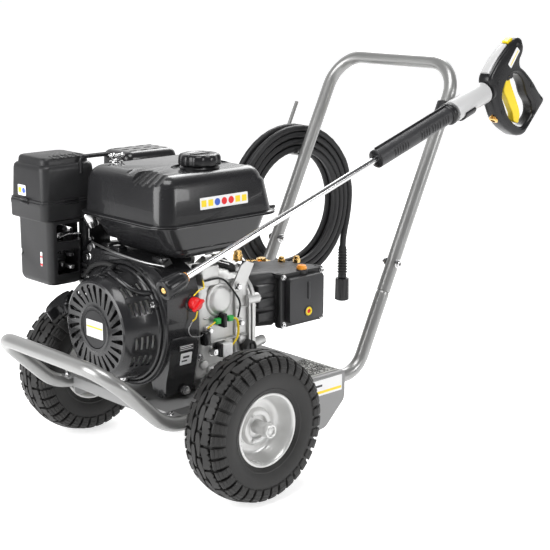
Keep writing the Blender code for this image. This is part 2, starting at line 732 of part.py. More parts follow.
def engine_switch():
    """Rotary stop switch on the near side of the shroud."""
    knob = cylinder((-0.0200, -0.1125, 0.3200), (-0.0200, -0.1270, 0.3200), 0.0110, 20)
    adopt(knob, "engine_switch", material("red", (0.75, 0.01, 0.01), 0.35))
    join(knob, box((-0.0230, -0.1330, 0.3080), (-0.0170, -0.1200, 0.3320)))


def oil_filler_plug():
    plug = [(0.0, 0.0160), (0.0120, 0.0160), (0.0135, 0.0140), (0.0135, 0.0), (0.0, 0.0)]
    made = turned(plug, (0.1120, CASE_Y[0] - GAP, 0.2150), (0, -1, 0), 20)
    adopt(made, "oil_filler_plug", rubber())


# ---------------------------------------------------------------- pump
def pump_adapter():
    """Cast flange that bolts the pump to the crankcase."""
    low, high = CASE_X[1] + GAP, 0.1640
    outline = arc(0.0, CRANK_Z, 0.0900, 0, 360, 24)[:-1]
    flange = cross_slab(outline, (low + high) / 2, (high - low) / 2)
    adopt(flange, "pump_adapter", cast_aluminium())
    cut(flange, cylinder((low - 0.01, 0, CRANK_Z), (high + 0.01, 0, CRANK_Z), 0.0200, 24))


def pump_body():
    """Neck, block and square cover flange in one casting, bored for the shaft."""
    neck = cylinder((0.1643, 0, CRANK_Z), (PUMP_X[0] + 0.004, 0, CRANK_Z), 0.0560, 24)
    adopt(neck, "pump_body", pump_black())
    low, high = PUMP_X
    join(neck, bevel(box((low, PUMP_Y[0] + 0.010, PUMP_Z[0] + 0.008),
                         (high, PUMP_Y[1], PUMP_Z[1] - 0.004)), 0.004))
    join(neck, bevel(box((low, PUMP_Y[0], PUMP_Z[0]), (high, PUMP_Y[0] + 0.012, PUMP_Z[1])), 0.003))
    cut(neck, cylinder((0.150, 0, CRANK_Z), (0.300, 0, CRANK_Z), 0.0200, 24))


def pump_shaft():
    """Hollow eccentric shaft of the pump, keyed on the crankshaft's end."""
    sleeve = [
        (0.0190, 0.0), (0.0190, -0.1200), (CRANK_R + GAP, -0.1200), (CRANK_R + GAP, 0.0),
    ]
    made = turned(sleeve, (0.1690, 0, CRANK_Z), (-1, 0, 0), 24, closed=True)
    adopt(made, "pump_shaft", steel())


def pump_cover():
    """Crankcase cover of the pump on the near side."""
    y = PUMP_Y[0] - GAP
    panel = bevel(box((PUMP_X[0] + 0.010, y - 0.014, PUMP_Z[0] + 0.008),
                      (PUMP_X[1] - 0.010, y, PUMP_Z[1] - 0.006)), 0.004)
    adopt(panel, "pump_cover", material("pump_grey", (0.05, 0.05, 0.052), 0.5))


def pump_head():
    """Valve head on the far side of the pump, with the water inlet in its rear face."""
    y = PUMP_Y[1] + GAP
    head = bevel(box((0.2220, y, 0.2400), (0.3180, y + 0.040, 0.3160)), 0.004)
    adopt(head, "pump_head", brass())
    inlet_y = y + 0.0200
    join(head, cylinder((0.3140, inlet_y, 0.2600), (0.3420, inlet_y, 0.2600), 0.0120, 20))
    cut(head, cylinder((0.3240, inlet_y, 0.2600), (0.3500, inlet_y, 0.2600), 0.0090, 20))


def pump_oil_cap():
    cap = [(0.0, 0.0080), (0.0085, 0.0080), (0.0100, 0.0060), (0.0100, 0.0), (0.0, 0.0)]
    made = turned(cap, (0.2740, PUMP_Y[0] + 0.0060, PUMP_Z[1] + GAP), (0, 0, 1), 16)
    adopt(made, "pump_oil_cap", yellow())


def pump_outlet():
    """High-pressure outlet nipple on the head's far face."""
    nipple = [(0.0, 0.0180), (0.0080, 0.0180), (0.0090, 0.0100), (0.0120, 0.0100), (0.0120, 0.0),
              (0.0, 0.0)]
    made = turned(nipple, (OUTLET[0], OUTLET[1], OUTLET[2]), (0, 1, 0), 20)
    adopt(made, "pump_outlet", brass())


# ---------------------------------------------------------------- gun and lance
def gun_body():
    """Moulded gun: barrel housing, grip and finger guard round one opening."""
    outline = [
        (0.6560, 0.6250), (0.6380, 0.6680), (0.6640, 0.7010), (0.7010, 0.7310), (0.7290, 0.7450),
        (0.7400, 0.7420), (0.7480, 0.7250), (0.7450, 0.7120), (0.7370, 0.7000), (0.7390, 0.6880),
        (0.7560, 0.6790), (0.7830, 0.6580), (0.8040, 0.6350), (0.8240, 0.6200), (0.8220, 0.6120),
        (0.7620, 0.5500), (0.7360, 0.5500), (0.7000, 0.5680), (0.6770, 0.5870),
    ]
    body = slab(outline, LANCE_Y, GUN_HALF)
    adopt(body, "gun_body", black_plastic())
    bevel(body, 0.004, 2)
    hole = [
        (0.7020, 0.6660), (0.7130, 0.6730), (0.7336, 0.6745), (0.7557, 0.6579), (0.7683, 0.6290),
        (0.7860, 0.6120), (0.7900, 0.5930), (0.7740, 0.5770), (0.7560, 0.5655), (0.7290, 0.5745),
        (0.7060, 0.5940), (0.6850, 0.6310), (0.6900, 0.6500),
    ]
    cut(body, slab(hole, LANCE_Y, 0.03))
    low, high = GUN_INLET
    join(body, cylinder((low[0], LANCE_Y, low[1]), (high[0], LANCE_Y, high[1]), 0.0090, 16))
    x, z = TRIGGER_PIN
    for reach, radius in ((0.0080, 0.0105), (0.0140 + GAP, 0.0025 + GAP)):
        cut(body, cylinder((x, LANCE_Y - reach, z), (x, LANCE_Y + reach, z), radius, 20))


def trigger():
    """Curved lever hung on its pin in a slot of the housing, above the opening."""
    x, z = TRIGGER_PIN
    outline = arc(x, z, 0.0075, 190, 0, 6) + [
        (0.7180, 0.6580), (0.7360, 0.6290), (0.7500, 0.6050), (0.7550, 0.5900),
        (0.7500, 0.5730), (0.7350, 0.5780), (0.7300, 0.5970), (0.7110, 0.6240), (0.6970, 0.6420),
        (0.7018, 0.6570),
    ]
    lever = slab(outline, LANCE_Y, 0.0075)
    adopt(lever, "trigger", yellow())
    bevel(lever, 0.002, 2)
    join(lever, cylinder((x, LANCE_Y - 0.0140, z), (x, LANCE_Y + 0.0140, z), 0.0025, 16))


def safety_button():
    """Locking slide in the gun's back."""
    tilt = math.atan2(0.0140, 0.0280)
    key = bevel(box((-0.0080, -0.0075, 0.0), (0.0080, 0.0075, 0.0050)), 0.0012)
    key.data.transform(Matrix.Translation(key.location))
    key.location = (0.7116, LANCE_Y, 0.7366)
    key.rotation_euler = (0, -tilt, 0)
    adopt(key, "safety_button", yellow())


def coupling_nut():
    """Smooth quick-coupling sleeve between gun and lance."""
    start, end = lance_point(0.742), lance_point(0.842)
    nut = cylinder(start, end, COUPLING_R, 28)
    adopt(nut, "coupling_nut", material("coupling_grey", (0.60, 0.60, 0.60), 0.4))


def lance():
    """Steel lance tube with its insulating grip."""
    rod = cylinder(lance_point(0.0500), lance_point(0.7410), 0.0060, 16)
    adopt(rod, "lance_tube", steel())
    sleeve = cylinder(lance_point(0.5200), lance_point(0.7380), 0.0175, 24)
    adopt(sleeve, "lance_grip", black_plastic())
    cut(sleeve, cylinder(lance_point(0.5100), lance_point(0.7500), 0.0063, 16))


def nozzle_nut():
    """Fluted union nut with the nozzle at the lance's tip."""
    nut = [(0.0, 0.0480), (0.0100, 0.0480), (0.0140, 0.0400), (0.0160, 0.0200), (0.0150, 0.0040),
           (0.0120, 0.0), (0.0, 0.0)]
    made = turned(nut, lance_point(0.0495), -LANCE_DIR, 24)
    adopt(made, "nozzle_nut", black_plastic())


# ---------------------------------------------------------------- hose
def hose():
    """Hose from the pump outlet into a coil over the hook, and its free end."""
    start_y = OUTLET[1] + 0.0180 + GAP
    union = [(0.0, 0.0420), (0.0090, 0.0420), (0.0120, 0.0380), (0.0150, 0.0340), (0.0150, 0.0),
             (0.0, 0.0)]
    adopt(turned(union, (OUTLET[0], start_y, OUTLET[2]), (0, 1, 0), 20), "hose_union", black_plastic())
    start = Vector((OUTLET[0], start_y + 0.0423, OUTLET[2]))
    corner = Vector((start.x, 0.2270, start.z))
    bend = corner + Vector((0.1127, 0.0, 0.0946))
    lead = rounded([start, corner, bend, bend + Vector((0.0105, 0.0, 0.0392))], (0.064, 0.125))
    adopt(tube(lead, HOSE_R, resolution=2), "hose_lead", rubber())
    outside, inside = COIL_R + COIL_HALF_RADIAL, COIL_R - COIL_HALF_RADIAL
    ring = [
        (outside, COIL_HALF_WIDE - 0.006), (outside, -COIL_HALF_WIDE + 0.006),
        (outside - 0.006, -COIL_HALF_WIDE), (inside + 0.006, -COIL_HALF_WIDE),
        (inside, -COIL_HALF_WIDE + 0.006), (inside, COIL_HALF_WIDE - 0.006),
        (inside + 0.006, COIL_HALF_WIDE), (outside - 0.006, COIL_HALF_WIDE),
    ]
    adopt(turned(ring, COIL_CENTRE, (0, 1, 0), 32, closed=True), "hose_coil", rubber())
    x, y = 0.6600, COIL_CENTRE.y - 0.0130
    tail = [(x + 0.0060, y, 0.2850), (x + 0.0014, y, 0.2800), (x, y, 0.2750), (x, y, 0.2683)]
    adopt(tube(tail, HOSE_R, resolution=2), "hose_tail", rubber())
    guard = [(0.0, 0.0), (0.0095, 0.0), (0.0110, -0.0050), (0.0110, -0.0585), (0.0, -0.0585)]
    adopt(turned(guard, (x, y, 0.2680), (0, 0, 1), 16), "hose_bend_guard", rubber())
    end = [(0.0, 0.0), (0.0085, 0.0), (0.0090, -0.0080), (0.0150, -0.0090), (0.0165, -0.0560),
           (0.0120, -0.0580), (0.0, -0.0580)]
    adopt(turned(end, (x, y, 0.2092), (0, 0, 1), 20), "hose_connector", black_plastic())


def main():
    chassis_tube()
    platform()
    step_mat()
    stand_feet()
    axle()
    wheels()
    push_handle()
    handle_bolts()
    hose_hook()
    lance_holder()
    crankcase()
    cylinder_head()
    rocker_cover()
    fan_shroud()
    recoil_cover()
    starter()
    flywheel()
    crankshaft()
    fuel_tank()
    fuel_cap()
    air_filter()
    carburettor()
    control_levers()
    muffler()
    engine_switch()
    oil_filler_plug()
    pump_adapter()
    pump_body()
    pump_shaft()
    pump_cover()
    pump_head()
    pump_oil_cap()
    pump_outlet()
    gun_body()
    trigger()
    safety_button()
    coupling_nut()
    lance()
    nozzle_nut()
    hose()


main()
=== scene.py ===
import math

import bmesh
import bpy
from mathutils import Matrix, Vector


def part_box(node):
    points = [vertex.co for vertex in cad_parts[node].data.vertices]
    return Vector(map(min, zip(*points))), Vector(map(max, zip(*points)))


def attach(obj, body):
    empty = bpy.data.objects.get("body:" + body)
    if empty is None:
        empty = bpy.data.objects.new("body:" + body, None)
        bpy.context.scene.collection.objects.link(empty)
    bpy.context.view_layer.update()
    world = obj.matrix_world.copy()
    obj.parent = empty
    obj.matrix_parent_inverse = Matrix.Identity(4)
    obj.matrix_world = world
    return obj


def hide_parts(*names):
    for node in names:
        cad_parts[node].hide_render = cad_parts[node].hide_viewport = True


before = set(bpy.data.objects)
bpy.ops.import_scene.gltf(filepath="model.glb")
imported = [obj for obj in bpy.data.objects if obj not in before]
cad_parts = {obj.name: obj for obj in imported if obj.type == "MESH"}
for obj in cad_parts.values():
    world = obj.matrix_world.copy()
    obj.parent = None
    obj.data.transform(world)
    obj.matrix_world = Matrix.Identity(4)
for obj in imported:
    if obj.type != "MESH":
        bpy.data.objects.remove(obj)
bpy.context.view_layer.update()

# Shapes are made in millimetres, in the machine's own axes: x = 0 over the wheel axle, z = 0 on the ground.
MM = 0.001
SLIVER = 2e-6     # metres; shorter edges go after a cut
SHIFT = (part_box("axle")[0].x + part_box("axle")[1].x) / 2
RUN_Z, SIDE_Y, TUBE_R = 133, 161, 12.7
LEG_ANGLE = math.radians(63.9)
LEG_X = 338.6
CRANK_Z = 274
LANCE_Y, LANCE_ANGLE = -200, math.radians(18.2)
LEG_DIR = Vector((math.cos(LEG_ANGLE), 0, math.sin(LEG_ANGLE)))
LANCE_DIR = Vector((math.cos(LANCE_ANGLE), 0, math.sin(LANCE_ANGLE)))
X, Y, Z = Vector((1, 0, 0)), Vector((0, 1, 0)), Vector((0, 0, 1))


# ---------------------------------------------------------------- materials
def finish(name, slot, colour, rough, metal=0.0, vary=0.18, scale=30.0, grain=700.0, bump=0.12, coat=0.0,
           stretch=(1, 1, 1), second=None, cells=False, rough_vary=0.25):
    """Colour, roughness and fine relief from noise in the piece's own coordinates."""
    made = bpy.data.materials.new(name)
    made.use_nodes = True
    made["slot"] = slot
    nodes, link = made.node_tree.nodes, made.node_tree.links.new
    shader = nodes["Principled BSDF"]
    coord = nodes.new("ShaderNodeTexCoord")
    mapping = nodes.new("ShaderNodeMapping")
    mapping.inputs["Scale"].default_value = stretch
    link(coord.outputs["Object"], mapping.inputs["Vector"])
    broad = nodes.new("ShaderNodeTexNoise")
    broad.inputs["Scale"].default_value = scale
    broad.inputs["Detail"].default_value = 5.0
    fine = nodes.new("ShaderNodeTexVoronoi" if cells else "ShaderNodeTexNoise")
    fine.inputs["Scale"].default_value = grain
    for texture in (broad, fine):
        link(mapping.outputs["Vector"], texture.inputs["Vector"])
    mix = nodes.new("ShaderNodeMix")
    mix.data_type = "RGBA"
    other = second or [c * (1 + vary) for c in colour]
    mix.inputs[6].default_value = (*[c * (1 - vary) for c in colour], 1)
    mix.inputs[7].default_value = (*other, 1)
    link(broad.outputs["Fac"], mix.inputs[0])
    link(mix.outputs[2], shader.inputs["Base Color"])
    spread = nodes.new("ShaderNodeMapRange")
    spread.inputs["To Min"].default_value = rough * (1 - rough_vary)
    spread.inputs["To Max"].default_value = min(1.0, rough * (1 + rough_vary))
    link(broad.outputs["Fac"], spread.inputs["Value"])
    link(spread.outputs["Result"], shader.inputs["Roughness"])
    relief = nodes.new("ShaderNodeBump")
    relief.inputs["Strength"].default_value = bump
    relief.inputs["Distance"].default_value = 0.0006
    link(fine.outputs["Distance" if cells else "Fac"], relief.inputs["Height"])
    link(relief.outputs["Normal"], shader.inputs["Normal"])
    shader.inputs["Metallic"].default_value = metal
    shader.inputs["Coat Weight"].default_value = coat
    if not metal and max(colour) < 0.06:
        shader.inputs["Specular IOR Level"].default_value = 0.32
    return made


FRAME = finish("frame_paint", "frame_paint", (0.30, 0.30, 0.295), 0.33, 0.55, 0.08, 12, 500, 0.05, 0.25)
DECK = finish("deck_paint", "deck_paint", (0.24, 0.24, 0.24), 0.42, 0.4, 0.12, 9, 600, 0.10)
RIM = finish("rim_paint", "rim_paint", (0.62, 0.62, 0.61), 0.30, 0.35, 0.06, 20, 500, 0.05, 0.3)
TYRE = finish("tyre_rubber", "tyre", (0.016, 0.016, 0.016), 0.52, 0, 0.35, 60, 1400, 0.20,
              second=(0.030, 0.029, 0.028))
HOSE = finish("hose_rubber", "rubber", (0.018, 0.018, 0.019), 0.48, 0, 0.3, 80, 1800, 0.25)
RUBBER = finish("soft_rubber", "rubber", (0.020, 0.020, 0.020), 0.6, 0, 0.3, 60, 1500, 0.2)
PLASTIC = finish("moulded_black", "black_plastic", (0.018, 0.018, 0.019), 0.40, 0, 0.25, 25, 1600, 0.22)
GLOSS = finish("smooth_black", "black_plastic", (0.014, 0.014, 0.015), 0.22, 0, 0.2, 20, 900, 0.06)
ENAMEL = finish("black_enamel", "black_enamel", (0.016, 0.016, 0.017), 0.26, 0.0, 0.2, 14, 900, 0.07, 0.3)
TANK = finish("tank_enamel", "black_enamel", (0.014, 0.014, 0.015), 0.26, 0.0, 0.15, 10, 900, 0.05, 0.3)
CAST = finish("cast_aluminium", "cast_aluminium", (0.60, 0.60, 0.59), 0.42, 0.85, 0.12, 40, 900, 0.45,
              cells=True)
STEEL = finish("bright_steel", "bright_steel", (0.66, 0.66, 0.66), 0.18, 1.0, 0.06, 60, 900, 0.012,
               stretch=(0.2, 3, 3))
DULL = finish("dull_steel", "machined_steel", (0.38, 0.38, 0.38), 0.38, 1.0, 0.15, 50, 800, 0.2)
ZINC = finish("dark_zinc", "cast_aluminium", (0.17, 0.17, 0.175), 0.36, 0.8, 0.15, 60, 900, 0.2)
BRASS = finish("brass", "brass", (0.80, 0.52, 0.19), 0.24, 1.0, 0.15, 70, 900, 0.08)
PUMP = finish("pump_black", "pump_black", (0.024, 0.024, 0.025), 0.38, 0.1, 0.2, 30, 1300, 0.35)
PANEL = finish("pump_grey", "pump_grey", (0.030, 0.030, 0.032), 0.40, 0.1, 0.15, 30, 1500, 0.35)
GREY = finish("light_grey", "coupling_grey", (0.50, 0.50, 0.50), 0.33, 0.0, 0.04, 20, 1500, 0.05)
YELLOW = finish("yellow_plastic", "yellow_plastic", (0.90, 0.66, 0.015), 0.32, 0, 0.06, 25, 1200, 0.06)
ORANGE = finish("oil_cap_orange", "yellow_plastic", (0.90, 0.33, 0.02), 0.34, 0, 0.08, 25, 1200, 0.06)
RED = finish("red_plastic", "red_plastic", (0.72, 0.012, 0.015), 0.30, 0, 0.08, 30, 1200, 0.06)
GREEN = finish("green_plastic", "yellow_plastic", (0.02, 0.42, 0.06), 0.35, 0, 0.08, 40, 1200, 0.06)
WHITE = finish("label_white", "coupling_grey", (0.80, 0.80, 0.80), 0.40, 0, 0.02, 30, 1500, 0.02)
INK = finish("label_dark", "black_plastic", (0.05, 0.05, 0.05), 0.45, 0, 0.1, 30, 1500, 0.02)
BLUE = finish("label_blue", "coupling_grey", (0.03, 0.10, 0.50), 0.40, 0, 0.05, 30, 1500, 0.02)
MAT = finish("mat_grey", "mat", (0.42, 0.42, 0.40), 0.85, 0, 0.15, 90, 900, 0.6)
MAT_DARK = finish("mat_black", "mat", (0.02, 0.02, 0.02), 0.9, 0, 0.2, 90, 900, 0.8, cells=True)
ROPE = finish("rope", "rope", (0.04, 0.04, 0.04), 0.8, 0, 0.5, 300, 900, 0.8)


# ---------------------------------------------------------------- mesh tools
def toward(origin, axis, side=None):
    """A matrix whose Z is the axis, at the origin; side is roughly its X."""
    z = Vector(axis).normalized()
    hint = Vector(side) if side else (X if abs(z.x) < 0.9 else Y)
    y = z.cross(hint).normalized()
    x = y.cross(z)
    made = Matrix((x, y, z)).transposed().to_4x4()
    made.translation = origin
    return made


def at(x=0, y=0, z=0):
    return Matrix.Translation((x, y, z))


def turned(degrees, axis):
    return Matrix.Rotation(math.radians(degrees), 4, axis)


def near(x, y, z):
    """A matrix at this point whose Z looks out of the near side."""
    return toward((x, y, z), (0, -1, 0))


def polar(radius, angle):
    return radius * math.cos(angle), radius * math.sin(angle)


def wave_ring(count, radius_at):
    """A closed outline whose radius depends on its angle."""
    angles = [2 * math.pi * i / count for i in range(count)]
    return [polar(radius_at(a), a) for a in angles]


def skin(bm, rings):
    """Faces from each closed ring of points to the next."""
    count = len(rings[0])
    for low, high in zip(rings, rings[1:]):
        for i in range(count):
            j = (i + 1) % count
            bm.faces.new((low[i], low[j], high[j], high[i]))


def solid(bm, rings):
    """Closed rings of points joined into one body with both ends shut."""
    skin(bm, rings)
    bm.faces.new(rings[0][::-1])
    bm.faces.new(rings[-1])


def lathe(bm, profile, place, steps=48, closed=False):
    """Turns (radius, height) points about the place's Z."""
    rings = []
    for r, h in profile:
        if r:
            rings.append([bm.verts.new(place @ Vector((x, y, h))) for x, y in ring_of(steps, r)])
        else:
            rings.append([bm.verts.new(place @ Vector((0, 0, h)))] * steps)
    pairs = list(zip(rings, rings[1:])) + ([(rings[-1], rings[0])] if closed else [])
    for low, high in pairs:
        for i in range(steps):
            j = (i + 1) % steps
            corners = []
            for v in (low[i], low[j], high[j], high[i]):
                if v not in corners:
                    corners.append(v)
            if len(corners) > 2:
                bm.faces.new(corners)


def block(bm, low, high, r=2, seg=2, place=None, taper=None):
    """A rounded block; taper shrinks its top face by (x, y)."""
    low, high = Vector(low), Vector(high)
    made = bmesh.ops.create_cube(bm, size=1.0)["verts"]
    for v in made:
        top = v.co.z > 0
        v.co = Vector((v.co.x * (high.x - low.x), v.co.y * (high.y - low.y), v.co.z * (high.z - low.z)))
        if taper and top:
            v.co.x -= math.copysign(taper[0], v.co.x)
            v.co.y -= math.copysign(taper[1], v.co.y)
        v.co += (low + high) / 2
    if r:
        edges = list({e for v in made for e in v.link_edges})
        out = bmesh.ops.bevel(bm, geom=edges, offset=r, segments=seg, affect="EDGES", profile=0.5)
        made = list({v for f in out["faces"] for v in f.verts} | {v for v in made if v.is_valid})
    if place is not None:
        bmesh.ops.transform(bm, matrix=place, verts=[v for v in made if v.is_valid])


def prism(bm, outline, place, depth, r=0, seg=2, inset=1.0):
    """A flat outline in the place's X and Y, raised along its Z; inset scales the far end."""
    middle = sum((Vector((*p, 0)) for p in outline), Vector()) / len(outline)
    low = [bm.verts.new(place @ Vector((x, y, 0))) for x, y in outline]
    high = []
    for x, y in outline:
        p = middle + (Vector((x, y, 0)) - middle) * inset
        high.append(bm.verts.new(place @ (p + Vector((0, 0, depth)))))
    bottom = bm.faces.new(low[::-1])
    top = bm.faces.new(high)
    count = len(outline)
    for i in range(count):
        j = (i + 1) % count
        bm.faces.new((low[i], low[j], high[j], high[i]))
    if r:
        edges = list(set(top.edges) | set(bottom.edges))
        bmesh.ops.bevel(bm, geom=edges, offset=r, segments=seg, affect="EDGES", profile=0.5)


def sweep(bm, points, radius, sides=24, caps=True):
    """A round bar along the points; radius is one number or one for each point."""
    points = [Vector(p) for p in points]
    radii = radius if isinstance(radius, (list, tuple)) else [radius] * len(points)
    side, rings = None, []
    for i, p in enumerate(points):
        ahead = (points[min(i + 1, len(points) - 1)] - points[max(i - 1, 0)]).normalized()
        if side is None:
            side = ahead.orthogonal().normalized()
        side = (side - ahead * side.dot(ahead)).normalized()
        up = ahead.cross(side)
        rings.append([bm.verts.new(p + (side * x + up * y) * radii[i]) for x, y in ring_of(sides, 1)])
    if caps:
        solid(bm, rings)
    else:
        skin(bm, rings)


def ring_of(count, radius):
    return wave_ring(count, lambda angle: radius)


def bolt(bm, spot, axis, r=6, h=5, kind="hex"):
    """A washer with a hexagon or socket head on it."""
    place = toward(spot, axis)
    lathe(bm, [(0, 1.2), (r * 1.35, 1.2), (r * 1.45, 0.8), (r * 1.45, -1)], place, 24)
    if kind == "hex":
        prism(bm, ring_of(6, r * 1.1), place @ at(z=1), h, r * 0.12, 1)
        lathe(bm, [(0, h + 1.6), (r * 0.45, h + 1.5), (r * 0.5, h)], place, 16)
    else:
        lathe(bm, [(0, h * 0.45), (r * 0.5, h * 0.45), (r * 0.52, h), (r * 0.9, h), (r, h * 0.85), (r, 0)],
              place, 20)


def rounded(corners, radii, turn=math.radians(6)):
    """The corners joined by straights, with an arc of the given radius at each inner one."""
    corners = [Vector(c) for c in corners]
    points = [corners[0]]
    for before, corner, after, radius in zip(corners, corners[1:], corners[2:], radii):
        back, ahead = (before - corner).normalized(), (after - corner).normalized()
        half = back.angle(ahead) / 2
        centre = corner + (back + ahead).normalized() * radius / math.sin(half)
        first = (corner + back * radius / math.tan(half) - centre).normalized()
        last = (corner + ahead * radius / math.tan(half) - centre).normalized()
        count = max(2, round(first.angle(last) / turn))
        points += [centre + first.slerp(last, i / count) * radius for i in range(count + 1)]
    return points + [corners[-1]]


def smooth_route(points, spacing):
    """A Catmull-Rom curve through the points, read at about this spacing."""
    points = [Vector(p) for p in points]
    ends = [points[0] * 2 - points[1]] + points + [points[-1] * 2 - points[-2]]
    route = []
    for a, b, c, d in zip(ends, ends[1:], ends[2:], ends[3:]):
        count = max(1, round((c - b).length / spacing))
        for i in range(count):
            t = i / count
            route.append(0.5 * (2 * b + (c - a) * t + (2 * a - 5 * b + 4 * c - d) * t * t
                                + (3 * b - 3 * c + d - a) * t ** 3))
    return route + [points[-1]]


def soften(outline, radius, steps=4):
    """A flat outline with each corner rounded."""
    made = []
    count = len(outline)
    for i in range(count):
        a, b, c = (Vector(outline[(i + k) % count]) for k in (-1, 0, 1))
        back, ahead = a - b, c - b
        reach = min(radius, back.length * 0.45, ahead.length * 0.45)
        start, end = b + back.normalized() * reach, b + ahead.normalized() * reach
        for k in range(steps + 1):
            t = k / steps
            made.append(tuple(start * (1 - t) ** 2 + b * 2 * t * (1 - t) + end * t * t))
    return made


def leg_point(z, side):
    return Vector((LEG_X + (z - RUN_Z) / math.tan(LEG_ANGLE), side * SIDE_Y, z))


def lance_point(along, lift=0, side=0):
    across = Vector((-LANCE_DIR.z, 0, LANCE_DIR.x))
    return Vector((-156, LANCE_Y + side, 379)) + LANCE_DIR * along + across * lift


def mesh_object(name, build):
    """A new object with the mesh that build makes."""
    mesh = bpy.data.meshes.new(name)
    bm = bmesh.new()
    build(bm)
    bmesh.ops.recalc_face_normals(bm, faces=bm.faces)
    bmesh.ops.scale(bm, vec=(MM, MM, MM), verts=bm.verts)
    bm.to_mesh(mesh)
    bm.free()
    obj = bpy.data.objects.new(name, mesh)
    bpy.context.scene.collection.objects.link(obj)
    return obj


def cut_away(obj, cuts):
    """Takes the cutters' mesh out of the object, and drops the slivers that this can leave."""
    tool = mesh_object("tool", cuts)
    made = obj.modifiers.new("Cut", "BOOLEAN")
    made.operation, made.object, made.solver = "DIFFERENCE", tool, "EXACT"
    made.use_self = True
    graph = bpy.context.evaluated_depsgraph_get()
    obj.data = bpy.data.meshes.new_from_object(obj.evaluated_get(graph))
    obj.modifiers.clear()
    bpy.data.objects.remove(tool, do_unlink=True)
    bm = bmesh.new()
    bm.from_mesh(obj.data)
    bmesh.ops.dissolve_degenerate(bm, edges=bm.edges, dist=SLIVER)
    bm.to_mesh(obj.data)
    bm.free()


def piece(name, build, material, body="trolley", nodes=(), angle=38, bevel=0, seg=2, cuts=None, extra=()):
    """Builds a mesh, cuts it, rounds its edges, shades it and lets it ride on a body."""
    obj = mesh_object(name, build)
    if cuts:
        cut_away(obj, cuts)
    obj.data.name = name
    for each in (material, *extra):
        obj.data.materials.append(each)
    if bevel:
        made = obj.modifiers.new("Bevel", "BEVEL")
        made.width, made.segments, made.limit_method = bevel * MM, seg, "ANGLE"
        made.angle_limit = math.radians(angle)
        made.harden_normals = False
    obj.data.shade_smooth()
    obj.data.set_sharp_from_angle(angle=math.radians(angle))
    obj.location.x = SHIFT
    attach(obj, body)
    if nodes:
        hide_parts(*nodes)
    return obj


# ---------------------------------------------------------------- studio
FOCAL = 1324 / 550     # in widths of the picture


def studio_sky(tree, ahead):
    """White behind the machine and softly grey elsewhere, so that dark parts keep their contrast."""
    back = tree.nodes["Background"]
    coords = tree.nodes.new("ShaderNodeTexCoord")
    dot = tree.nodes.new("ShaderNodeVectorMath")
    dot.operation = "DOT_PRODUCT"
    dot.inputs[1].default_value = Vector((ahead.x, ahead.y, 0.0)).normalized()
    ramp = tree.nodes.new("ShaderNodeValToRGB")
    ramp.color_ramp.elements[0].position, ramp.color_ramp.elements[0].color = 0.30, (0.13, 0.13, 0.135, 1)
    ramp.color_ramp.elements[1].position, ramp.color_ramp.elements[1].color = 0.62, (1.0, 1.0, 1.0, 1)
    tree.links.new(coords.outputs["Generated"], dot.inputs[0])
    tree.links.new(dot.outputs["Value"], ramp.inputs["Fac"])
    tree.links.new(ramp.outputs["Color"], back.inputs["Color"])
    back.inputs["Strength"].default_value = 1.05


def camera_at(place, ahead, roll, focal):
    """A level pinhole camera turned by its roll; focal is in widths of the picture."""
    data = bpy.data.cameras.new("camera")
    data.sensor_width, data.lens = 36, focal * 36
    data.clip_start, data.clip_end = 0.1, 50
    camera = bpy.data.objects.new("camera", data)
    bpy.context.scene.collection.objects.link(camera)
    bpy.context.scene.camera = camera
    right = ahead.cross(Z).normalized()
    up = right.cross(ahead)
    side, top = right * math.cos(roll) + up * math.sin(roll), up * math.cos(roll) - right * math.sin(roll)
    placed = Matrix((side, top, -ahead)).transposed().to_4x4()
    placed.translation = place
    camera.matrix_world = placed


def softboxes():
    lights = (((-2.5, 0.5, 1.2), 1.7, 62), ((-0.5, -0.6, 2.6), 1.3, 40), ((1.0, -2.6, 1.3), 0.9, 22),
              ((1.9, 1.4, 2.2), 1.5, 40))
    aim = Vector((0, 0, 0.3))
    for index, (spot, size, power) in enumerate(lights):
        lamp = bpy.data.lights.new(f"softbox_{index}", "AREA")
        lamp.energy, lamp.size = power, size
        obj = bpy.data.objects.new(f"softbox_{index}", lamp)
        bpy.context.scene.collection.objects.link(obj)
        obj.location = spot
        obj.rotation_euler = (aim - Vector(spot)).to_track_quat("-Z", "Y").to_euler()


def white_floor(reach=40, drop=0.0005):
    mesh = bpy.data.meshes.new("floor")
    corners = [(-reach, -reach), (reach, -reach), (reach, reach), (-reach, reach)]
    mesh.from_pydata([(x, y, -drop) for x, y in corners], [], [(0, 1, 2, 3)])
    floor = bpy.data.objects.new("floor", mesh)
    bpy.context.scene.collection.objects.link(floor)
    pale = bpy.data.materials.new("floor_white")
    pale.use_nodes = True
    shader = pale.node_tree.nodes["Principled BSDF"]
    shader.inputs["Base Color"].default_value = (0.80, 0.80, 0.80, 1)
    shader.inputs["Roughness"].default_value = 0.6
    shader.inputs["Specular IOR Level"].default_value = 0.2
    shader.inputs["Emission Color"].default_value = (1, 1, 1, 1)
    shader.inputs["Emission Strength"].default_value = 0.68
    mesh.materials.append(pale)


def studio():
    """The camera that the photo was taken with, as far as it can be told, and a white studio."""
    scene = bpy.context.scene
    scene.view_settings.view_transform = "Standard"
    ahead = Vector((0.6687, 0.7068, -0.2308)).normalized()
    camera_at((-1.4197 + SHIFT, -1.7948, 0.8877), ahead, math.radians(0.24), FOCAL)
    world = bpy.data.worlds.new("studio")
    scene.world = world
    world.use_nodes = True
    studio_sky(world.node_tree, ahead)
    softboxes()
    white_floor()


# ---------------------------------------------------------------- hose
COIL = Vector((514, 199, 382))
COIL_R, STRAND = 144, 14
LAYER, PITCH = 12.2, 14
ABREAST = (-1.5, -0.5, 0.5, 1.5)
LAID = [(r, LAYER) for r in ABREAST] + [(r, 0) for r in (1, 0, -1)] + [(r, -LAYER) for r in ABREAST]


